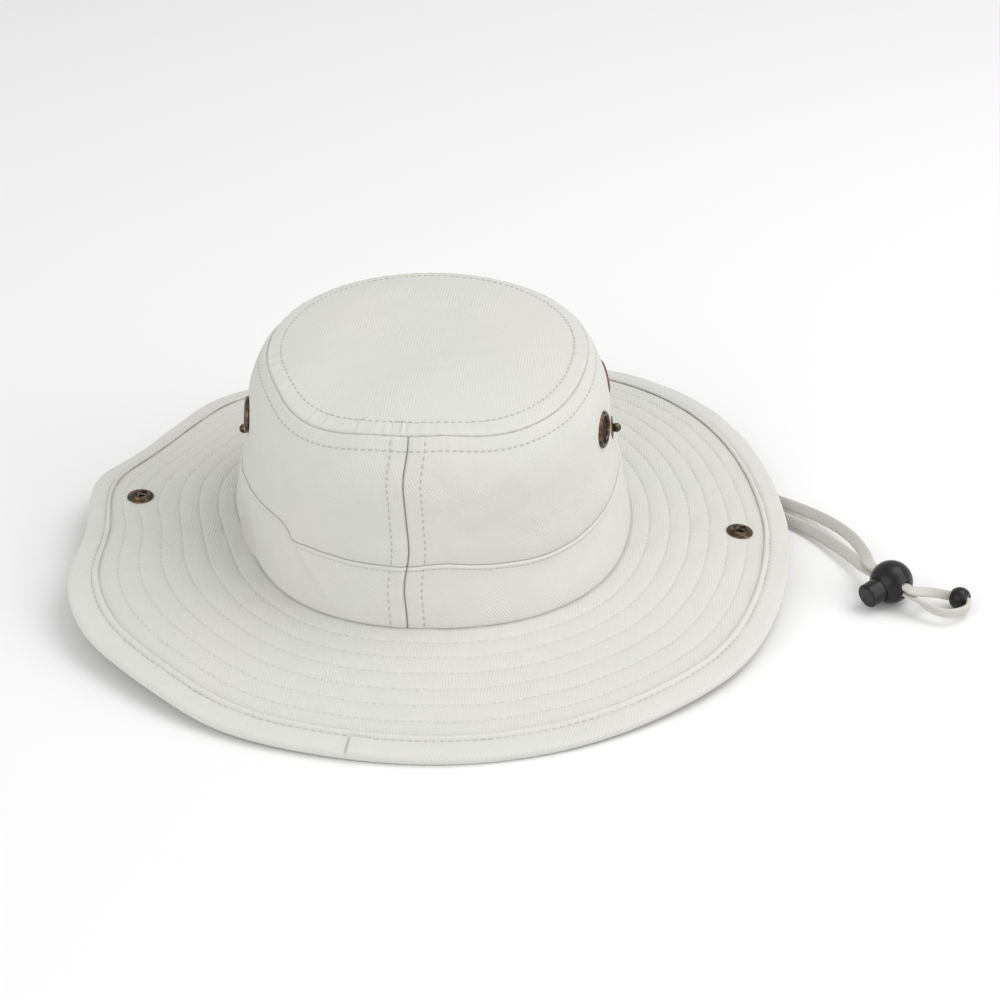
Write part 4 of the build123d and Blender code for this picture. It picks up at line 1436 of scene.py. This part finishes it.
@dataclass
class Brim:
    """Cloth layers, interlining, binding and stitching of the brim, in two halves."""

    wardrobe: Wardrobe
    stitch: Stitch = field(default_factory=lambda: Stitch(
        length=2.6 * MM, pitch=3.3 * MM, radius=0.21 * MM, arch=0.17 * MM))
    fold: Fold = field(default_factory=Fold)
    column_step: float = 1.5 * MM
    row_step: float = 1.5 * MM
    felt_step: float = 4 * MM
    inner_edge: float = -1.2 * MM
    cloth_hole: float = 3.9 * MM
    felt_hole: float = 6.0 * MM
    rim_radius: float = 165 * MM
    lap_turn: float = math.radians(264.6)
    lap_gap: float = 0.007
    lap_length: float = 0.05
    lap_rise: float = 0.85 * MM
    lap_dip: float = 0.5 * MM

    def build(self) -> None:
        """Makes both halves."""
        for side in Side:
            for layer in Layer:
                self.make_layer(side, layer)
            self.make_binding(side)
            self.make_rows(side)

    def _finish(self, piece: bpy.types.Object, side: Side, finish: str, slot: str, *nodes: str) -> None:
        """Dresses a piece, bakes its transform and hides the CAD nodes that it replaces.

        Args:
            piece: the new piece.
            side: the side whose fold it crosses.
            finish: name of its finish.
            slot: its material slot in the part; not used.
            nodes: the CAD nodes that it replaces.
        """
        self.wardrobe.dress(piece, finish)
        self.fold.across(piece, side)
        if nodes:
            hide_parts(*nodes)
        LOG.info("brim piece %s: %d faces", piece.name, len(piece.data.polygons))

    def _turns(self, side: Side, step: float) -> Array:
        """Angles of the columns of one half, evenly spaced along the middle of the brim.

        Args:
            side: which half.
            step: length between columns.

        Returns:
            The angles.
        """
        fine = np.linspace(*side.turns(), 2000)
        points, _ = BRIM.base(fine, np.full_like(fine, BRIM.reach * 0.7))
        length = lengths_along(points)
        return np.interp(np.linspace(0, length[-1], round(length[-1] / step) + 1), length, fine)

    def make_layer(self, side: Side, layer: Layer) -> None:
        """One layer of one half, mapped flat from above.

        Args:
            side: which half.
            layer: which layer.
        """
        depth, thickness = layer.value
        inside = layer is Layer.INTERLINING
        marks = () if inside else tuple(row - self.inner_edge for row in BRIM.rows)
        step, hole = (self.felt_step, self.felt_hole) if inside else (self.row_step, self.cloth_hole)
        out = stations(BRIM.reach - self.inner_edge, marks, step, 0.4 * MM, 1.3 * MM) + self.inner_edge
        turns = self._turns(side, self.column_step * (3 if inside else 1))
        outer, _ = BRIM.face(turns[None, :], out[:, None], depth, layer is Layer.LOWER)
        inner, _ = BRIM.face(turns[None, :], out[:, None], depth + thickness, layer is Layer.LOWER)
        holes = [(centre, hole) for centre in middles_of("snap_socket")]
        # the crease here is painted shade where the brim's inner edge runs under the band
        piece = closed_slab(f"brim_{layer.name.lower()}_{side.word}", outer, inner, outer[..., :2],
                            holes=holes, crease=0.4 * shelf(out[:, None], 0.4 * MM, 0.3 * MM))
        nodes = [f"flap_{layer.name.lower()}_{side.word}"]
        if side is Side.LEFT:
            nodes.append(f"brim_{layer.name.lower()}")
        finish, slot = ("felt", "interlining") if inside else ("brim", "twill")
        self._finish(piece, side, finish, slot, *nodes)

    @staticmethod
    def _binding_outline() -> Array:
        """Closed outline of the binding as (reach, height over the brim's top).

        The upper leaf runs from the rolled inner edge, through the stitched groove and the
        flat, round the rim; the lower leaf is its mirror image.

        Returns:
            Points of the outline, in metres.
        """
        start, rim, under = BRIM.binding_start, BRIM.reach, BRIM.thickness
        leaf = [(0.25, 0.05), (-0.30, 0.45), (-0.25, 1.0), (0.35, 1.52), (1.1, 1.56), (1.75, 1.15),
                (2.1, 0.62), (2.45, 0.34), (2.85, 0.52), (3.4, 0.86), (4.6, 1.02), (6.4, 1.04),
                (8.2, 1.0), (9.8, 0.95)]
        upper = [(start + out * MM, height * MM) for out, height in leaf]
        middle, half = -under / 2, under / 2 + BRIM.cover
        edge = [(rim - 0.25 * MM + 1.1 * MM * math.cos(turn), middle + half * math.sin(turn))
                for turn in np.radians(np.linspace(75, -75, 9))]
        lower = [(out, -under - height) for out, height in reversed(upper)]
        inside = [(start + 0.6 * MM, -under - 0.05 * MM), (rim + 0.1 * MM, -under - 0.05 * MM),
                  (rim + 0.1 * MM, 0.05 * MM), (start + 0.6 * MM, 0.05 * MM)]
        return np.array(upper + edge + lower + inside)

    def make_binding(self, side: Side) -> None:
        """Binding carried round the rim of one half: outline points laid on the brim's face.

        Its ends lap at the front: a step up that fades out, beside a narrow gap.

        Args:
            side: which half.
        """
        outline = self._binding_outline()
        turns = self._turns(side, self.column_step)
        marks = self.lap_turn + np.array([-self.lap_gap - 0.0005, -self.lap_gap + 0.0005, -0.0004, 0.0004])
        turns = np.sort(np.concatenate([turns, marks[(marks > turns.min()) & (marks < turns.max())]]))
        out, height = outline[:, :1], outline[:, 1:]
        base, normals = BRIM.face(turns[None, :], np.broadcast_to(out, (len(out), len(turns))))
        loose = np.abs(np.clip(height / MM, -3.5, 1.4)) * bump_at(out - BRIM.binding_start, 6 * MM)
        ripple = 0.10 * MM * PUCKERS.ring(turns, self.rim_radius) * loose
        ripple = ripple + 0.13 * MM * CRUMPLE.wall(turns[None, :], self.rim_radius, out) * (height > 0)
        lap = (turns > self.lap_turn) * shelf(turns, self.lap_turn + self.lap_length, 0.012)
        gap = (turns < self.lap_turn) * (turns > self.lap_turn - self.lap_gap)
        flat = (height > 0) * (out > BRIM.binding_start + 3 * MM)
        ripple = ripple + (self.lap_rise * lap - self.lap_dip * gap) * flat
        points = base + normals * (height + ripple * np.sign(height + 1.2 * MM))[..., None]
        points[..., 2] = np.maximum(points[..., 2], 0.05 * MM)
        uv = cloth_map(turns[None, :] * self.rim_radius, out + height)
        closed, closed_uv = np.concatenate([points, points[:1]]), np.concatenate([uv, uv[:1]])
        first = np.arange(len(outline)) * len(turns)
        ends = np.stack([first, first + len(turns) - 1])
        faces = grid_faces(*closed.shape[:2]).tolist() + ends.tolist()
        piece = new_object(f"brim_edge_{side.word}", closed, faces, closed_uv)
        end = "front" if side is Side.LEFT else "rear"
        self._finish(piece, side, "binding", "binding_twill", f"binding_{side.word}", f"binding_{end}")

    def make_rows(self, side: Side) -> None:
        """Quilting rows on both faces and the row that holds the binding.

        Args:
            side: which half.
        """
        turns = np.linspace(*side.turns(), 1600)
        upper, lower = [], []
        for row in BRIM.rows:
            upper.append(BRIM.face(turns, np.full_like(turns, row)))
            points, normals = BRIM.face(turns, np.full_like(turns, row), BRIM.thickness, True)
            lower.append((points, -normals))
        self._finish(self.stitch.sew(f"quilting_upper_{side.word}", upper), side, "quilt", "twill")
        self._finish(self.stitch.sew(f"quilting_lower_{side.word}", lower), side, "quilt", "twill")
        groove = np.full_like(turns, BRIM.binding_start + 2.45 * MM)
        points, normals = BRIM.face(turns, groove)
        below, _ = BRIM.face(turns, groove, BRIM.thickness)
        rows = [(points + normals * 0.36 * MM, normals), (below - normals * 0.36 * MM, -normals)]
        self._finish(self.stitch.sew(f"binding_stitches_{side.word}", rows), side, "thread", "binding_twill")


# ------------------------------------------------------------------ hardware

def standing(node: str, outwards: Array) -> tuple[Array, Array]:
    """Axis of a turned CAD node, from its vertices.

    The axis is the singular vector of the centred vertices along which the node is symmetric:
    the one whose two partners have nearly the same singular value.

    Args:
        node: the node's name.
        outwards: rough outward direction.

    Returns:
        The point of the axis level with the outermost vertex, and the unit axis.
    """
    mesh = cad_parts[node].data
    points = np.empty(len(mesh.vertices) * 3)
    mesh.vertices.foreach_get("co", points)
    points = np.unique(np.round(points.reshape(-1, 3), 7), axis=0)
    _, spread, ways = np.linalg.svd(points - points.mean(0), full_matrices=False)
    gaps = np.abs(spread[[1, 0, 0]] - spread[[2, 2, 1]])
    axis = ways[np.argmin(gaps)]
    axis = axis * np.sign(axis @ outwards)
    centre = points.mean(0)
    along = (points - centre) @ axis
    return centre + axis * along.max(), axis


@dataclass
class Hardware:
    """Eyelets with woven mesh, and the snaps' sockets, springs, caps, studs and posts.

    Profiles are (radius, height) in millimetres over the piece's base.
    """

    wardrobe: Wardrobe
    ring_profile: tuple[tuple[float, float], ...] = (
        (5.8, -1.9), (6.3, -1.9), (6.3, 0.1), (7.9, 0.05), (8.2, 0.3), (8.1, 0.85), (7.6, 1.35),
        (6.95, 1.55), (6.4, 1.4), (5.95, 0.95), (5.8, 0.3))
    socket_profile: tuple[tuple[float, float], ...] = (
        (6.0, 0.1), (6.0, 0.5), (5.65, 0.82), (4.6, 0.92), (4.25, 1.15), (3.95, 1.75), (3.4, 1.9),
        (2.85, 1.75), (2.75, 1.2), (2.8, 0.1))
    stud_profile: tuple[tuple[float, float], ...] = (
        (0.0, 0.1), (5.1, 0.05), (5.3, 0.3), (5.0, 0.62), (3.6, 0.85), (2.2, 1.05), (1.6, 1.12))
    ball_radius: float = 2.1
    ball_height: float = 2.3
    ring_height: float = 1.7 * MM
    socket_height: float = 1.9 * MM
    stud_height: float = 4.4 * MM
    wire: float = 0.14 * MM
    wire_pitch: float = 0.62 * MM
    wire_sides: int = 6
    mesh_radius: float = 5.9 * MM
    shortest_wire: float = 1.2 * MM

    def build(self) -> None:
        """Makes or dresses every metal piece."""
        for side in Side:
            outwards = np.array([side.value, 0.0, 0.0])
            for end in ("front", "rear"):
                self.make_eyelet(side, end, outwards)
            self.make_snap(side, outwards)

    def _finish(self, piece: bpy.types.Object, body: str, finish: str, slot: str, node: str) -> None:
        """Dresses a new piece that stands for one CAD node.

        Args:
            piece: the new piece.
            body: the body that carries it.
            finish: name of its finish.
            slot: its material slot in the part; not used.
            node: the CAD node that it replaces.
        """
        self.wardrobe.dress(piece, finish)
        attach(piece, body)
        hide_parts(node)
        LOG.info("hardware %s on %s", piece.name, body)

    def _keep(self, node: str, finish: str) -> None:
        """Dresses a CAD node that stays."""
        self.wardrobe.dress(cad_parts[node], finish)

    def make_eyelet(self, side: Side, end: str, outwards: Array) -> None:
        """Rolled ring, washer and woven mesh of one eyelet.

        Args:
            side: side of the hat.
            end: front or rear.
            outwards: rough outward direction.
        """
        place = f"{side.word}_{end}"
        top, axis = standing(f"eyelet_ring_{place}", outwards)
        base = top - axis * self.ring_height
        self._finish(turned(f"rolled_ring_{place}", self.ring_profile, base, axis, 96, 2), "root", "brass",
                     "antique_brass", f"eyelet_ring_{place}")
        self._keep(f"eyelet_washer_{place}", "brass")
        self._finish(self.woven_disc(f"woven_mesh_{place}", base + axis * 0.15 * MM, axis), "root", "mesh",
                     "eyelet_mesh", f"eyelet_mesh_{place}")

    def woven_disc(self, name: str, centre: Array, axis: Array) -> bpy.types.Object:
        """Two sets of wires that pass over and under each other inside a circle.

        Each wire is a tube along a chord; its height is most of a wire times the sine of its
        place, which changes sign from one wire to the next.

        Args:
            name: the piece's name.
            centre: middle of the disc.
            axis: unit vector square to the disc.

        Returns:
            The new piece.
        """
        across, third = square_to(axis)
        sides, pitch = self.wire_sides, self.wire_pitch
        turn = np.linspace(0, 2 * math.pi, sides, endpoint=False)[:, None]
        points, faces, start = [], [], 0
        for first, second, phase in ((across, third, 0.0), (third, across, math.pi)):
            ring = (first * np.cos(turn) + axis * np.sin(turn)) * self.wire
            for number, offset in enumerate(np.arange(-9, 10) * pitch):
                half = math.sqrt(max(self.mesh_radius ** 2 - offset ** 2, 0))
                if half < self.shortest_wire:
                    continue
                place = np.linspace(-half, half, max(5, int(half / pitch * 6)))[:, None]
                sway = self.wire * 0.8 * np.sin(math.pi * (place / pitch + number) + phase + math.pi / 2)
                line = centre + first * offset + second * place + axis * sway
                points.append((line[:, None] + ring).reshape(-1, 3))
                ends = np.stack([np.arange(sides), len(place) * sides - sides + np.arange(sides)]) + start
                faces += grid_faces(len(place), sides, True, start).tolist() + ends.tolist()
                start += len(place) * sides
        return new_object(name, np.concatenate(points), faces)

    def make_snap(self, side: Side, outwards: Array) -> None:
        """Socket and stud as turned pieces; spring, cap and post keep their CAD shape.

        Args:
            side: side of the hat.
            outwards: rough outward direction of the stud.
        """
        top, axis = standing(f"snap_socket_{side.word}", np.array([0, 0, 1.0]))
        base = top - axis * self.socket_height
        self._finish(turned(f"socket_ring_{side.word}", self.socket_profile, base, axis, 72, 2),
                     f"flap_{side.word}", "brass", "antique_brass", f"snap_socket_{side.word}")
        top, axis = standing(f"snap_stud_{side.word}", outwards)
        base = top - axis * self.stud_height
        ball = [(self.ball_radius * math.cos(turn), self.ball_height + self.ball_radius * math.sin(turn))
                for turn in np.linspace(-0.75, math.pi / 2, 12)]
        self._finish(turned(f"stud_{side.word}", [*self.stud_profile, *ball], base, axis, 64, 1), "root",
                     "brass", "antique_brass", f"snap_stud_{side.word}")
        for part, finish in (("spring", "steel"), ("cap", "brass"), ("post", "brass")):
            self._keep(f"snap_{part}_{side.word}", finish)


# ------------------------------------------------------------------ chin cord

@dataclass
class ChinCord:
    """Flat cord from side to side of the hat, through the ball lock and the bead."""

    wardrobe: Wardrobe
    width: float = 5.4 * MM
    thickness: float = 1.9 * MM
    lock_centre: tuple[float, float, float] = (206.0, -31.0, 9.7)
    lock_heading: float = -48.0
    lock_dip: float = 9.0
    lock_places: tuple[float, ...] = (-14.0, -8.0, 9.5, 14.0)
    strand_pitch: float = 3.8
    drawn_in: float = 0.19
    lean: float = 0.25
    loop_lean: float = 0.46
    sides: int = 20
    left_half: tuple[tuple[float, float, float], ...] = (
        (-83.0, -4.0, 19.4), (-79.0, -5.0, 11.0), (-69.0, -8.0, 4.2), (-50.0, -14.0, 2.8),
        (-22.0, -21.0, 2.8), (14.0, -22.0, 2.8), (50.0, -12.0, 2.8), (86.0, 4.0, 2.8),
        (120.0, 22.0, 2.8), (150.0, 37.0, 2.8), (171.0, 22.0, 2.9), (187.5, -1.0, 5.0))
    loop: tuple[tuple[float, float, float], ...] = (
        (227.5, -50.0, 5.6), (238.5, -45.0, 5.3), (240.0, -36.8, 5.2),
        (232.0, -33.2, 5.2), (224.0, -36.0, 8.4))
    right_half: tuple[tuple[float, float, float], ...] = (
        (195.5, -8.0, 9.6), (187.5, 18.0, 5.4), (168.0, 40.0, 3.0), (136.0, 57.0, 2.8),
        (98.0, 63.0, 2.8), (62.0, 62.0, 2.8), (30.0, 55.0, 2.8), (8.0, 38.0, 2.8),
        (16.0, 18.0, 2.8), (40.0, 10.0, 2.8), (62.0, 9.0, 3.4), (75.0, 8.0, 9.0),
        (82.0, 7.0, 19.4))

    def _through_lock(self, sign: int) -> list[Array]:
        """Points of one strand's straight way through the lock, from the hat's side.

        Args:
            sign: -1 for the lower strand, 1 for the upper one.

        Returns:
            Points in millimetres.
        """
        heading, dip = math.radians(self.lock_heading), math.radians(self.lock_dip)
        way = np.array([math.cos(heading), math.sin(heading), 0.0])
        button = np.array([way[1], -way[0], 0.0]) * math.cos(dip) - np.array([0, 0, math.sin(dip)])
        lift = np.cross(button, way) * sign * self.strand_pitch / 2
        return [np.array(self.lock_centre) + lift + way * place for place in self.lock_places]

    def route(self) -> Array:
        """The cord's listed points, from the left side to the right side, in metres."""
        return np.array([*self.left_half, *self._through_lock(-1), *self.loop,
                         *self._through_lock(1)[::-1], *self.right_half]) * MM

    def centreline(self) -> Array:
        """Points read along the smooth line that has the route as its control points.

        Returns:
            Points of the line, in metres.
        """
        curve = bpy.data.curves.new("cord_line", "CURVE")
        curve.dimensions = "3D"
        route = self.route()
        spline = curve.splines.new("NURBS")
        spline.points.add(len(route) - 1)
        spline.points.foreach_set("co", np.column_stack([route, np.ones(len(route))]).ravel())
        spline.order_u = 3
        spline.use_endpoint_u = True
        spline.resolution_u = 12
        holder = bpy.data.objects.new("cord_line", curve)
        bpy.context.scene.collection.objects.link(holder)
        bpy.context.view_layer.update()
        graph = bpy.context.evaluated_depsgraph_get()
        mesh = bpy.data.meshes.new_from_object(holder.evaluated_get(graph))
        line = np.empty(len(mesh.vertices) * 3)
        mesh.vertices.foreach_get("co", line)
        bpy.data.objects.remove(holder)
        bpy.data.curves.remove(curve)
        bpy.data.meshes.remove(mesh)
        return line.reshape(-1, 3)

    def section(self) -> Array:
        """Outline of the flat cord: an oval made squarer by raising sine and cosine to 0.55.

        Returns:
            Points as (across the width, through the thickness), in metres.
        """
        turn = np.linspace(0, 2 * math.pi, self.sides, endpoint=False)
        circle = np.stack([np.cos(turn), np.sin(turn)], -1)
        return np.sign(circle) * np.abs(circle) ** 0.55 * np.array([self.width, self.thickness]) / 2

    def sweep(self, line: Array) -> tuple[Array, Array]:
        """Carries the outline along the cord, flat in the lock and leaning beside it.

        The cord lies flat where it passes the lock, leans one way before it and the other way
        after it, stands nearly upright in the loop, and is drawn in from the lock to the bead.

        Args:
            line: points along the cord's middle.

        Returns:
            Points of every section, and its texture coordinates.
        """
        way = unit(np.gradient(line, axis=0))
        level = unit(np.cross(way, (0, 0, 1.0)))
        upright = np.cross(level, way)
        from_lock = np.linalg.norm(line - np.array(self.lock_centre) * MM, axis=1)
        inside = from_lock < 4 * MM
        before, after = np.cumsum(inside) == 0, np.cumsum(inside[::-1])[::-1] == 0
        held = shelf(from_lock, 16 * MM, 5 * MM)
        lean = np.select([before, after], [-self.lean, self.lean], self.loop_lean)
        tilt = (lean * math.pi * (1 - held))[:, None]
        spread = (1 - self.drawn_in * np.where(before | after, held, 1.0))[:, None, None]
        broad = level * np.cos(tilt) + upright * np.sin(tilt)
        thin = np.cross(way, broad)
        ring = self.section()
        points = line[:, None] + broad[:, None] * ring[:, :1] * spread + thin[:, None] * ring[:, 1:]
        return points, cloth_map(ring[None, :, 0], lengths_along(line)[:, None])

    def build(self) -> None:
        """Makes the flat cord and dresses its lock and bead."""
        line = self.centreline()
        points, uv = self.sweep(line)
        last = (len(line) - 1) * self.sides
        ends = np.arange(self.sides) + np.array([[0], [last]])
        faces = grid_faces(len(line), self.sides, True).tolist() + ends.tolist()
        piece = new_object("flat_chin_cord", points, faces, uv)
        self.wardrobe.dress(piece, "cord")
        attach(piece, "root")
        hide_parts("chin_cord")
        finishes = {"cord_lock_body": "plastic", "cord_lock_plunger": "plastic",
                    "cord_lock_spring": "steel", "cord_bead": "plastic"}
        pieces = [self.wardrobe.dress(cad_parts[node], finish) for node, finish in finishes.items()]


# ------------------------------------------------------------------ stage

@dataclass(frozen=True)
class Studio:
    """White floor, soft lights and the camera."""

    azimuth: float = 5.0
    elevation: float = 30.6
    distance: float = 1.240
    lens: float = 99.0
    target: tuple[float, float, float] = (0.0308, 0.0, 0.0240)
    floor_half: float = 6.0
    world_strength: float = 0.66
    lamps: tuple[tuple[str, tuple[float, float, float], float, float], ...] = (
        ("key", (0.7, 0.15, 1.25), 1.0, 8.3),
        ("fill", (-0.9, -1.3, 0.6), 1.8, 13.5),
        ("side", (1.5, -0.5, 0.7), 1.2, 8.5))

    def build(self) -> None:
        """Makes the stage."""
        self.make_floor()
        self.make_world()
        for lamp in self.lamps:
            self.add_light(*lamp)
        bpy.context.scene.view_settings.view_transform = "Standard"
        self.make_camera()

    def make_floor(self) -> None:
        """Large pale plane under the hat."""
        corners = np.array([(-1, -1, 0), (1, -1, 0), (1, 1, 0), (-1, 1, 0)]) * self.floor_half
        floor = new_object("floor", corners, [[0, 1, 2, 3]], weld=False)
        finish = Plain("floor_paper", (0.84, 0.84, 0.84), 0.9, grain=40.0, uneven=0.004, depth=0.002 * MM)
        floor.data.materials.append(finish.material())

    def make_world(self) -> None:
        """Even white light from all round."""
        world = bpy.data.worlds.new("white_room")
        world.use_nodes = True
        background = world.node_tree.nodes["Background"]
        background.inputs["Color"].default_value = (1.0, 1.0, 1.0, 1.0)
        background.inputs["Strength"].default_value = self.world_strength
        bpy.context.scene.world = world

    def add_light(self, name: str, place: tuple[float, float, float], size: float, power: float) -> None:
        """Square soft light that faces the hat.

        Args:
            name: the light's name.
            place: where it stands, in metres.
            size: length of its sides, in metres.
            power: its power, in watts.
        """
        data = bpy.data.lights.new(name, "AREA")
        data.size = size
        data.energy = power
        light = bpy.data.objects.new(name, data)
        light.location = place
        light.rotation_euler = (Vector(place) - Vector((0, 0, 0.04))).to_track_quat("Z", "Y").to_euler()
        bpy.context.scene.collection.objects.link(light)

    def make_camera(self) -> None:
        """Camera on its azimuth and elevation, looking at the target."""
        turn, lift = math.radians(self.azimuth), math.radians(self.elevation)
        back = Vector((math.sin(turn) * math.cos(lift), -math.cos(turn) * math.cos(lift), math.sin(lift)))
        data = bpy.data.cameras.new("camera")
        data.lens = self.lens
        camera = bpy.data.objects.new("camera", data)
        camera.location = Vector(self.target) + back * self.distance
        camera.rotation_euler = back.to_track_quat("Z", "Y").to_euler()
        bpy.context.scene.collection.objects.link(camera)
        bpy.context.scene.camera = camera


def main() -> None:
    """Builds the stage and every sub-assembly in order."""
    logging.basicConfig(level=logging.INFO, format="%(name)s: %(message)s")
    wardrobe = Wardrobe()
    Studio().build()
    ChinCord(wardrobe).build()
    Crown(wardrobe).build()
    Brim(wardrobe).build()
    Hardware(wardrobe).build()


if __name__ == "__main__":
    main()
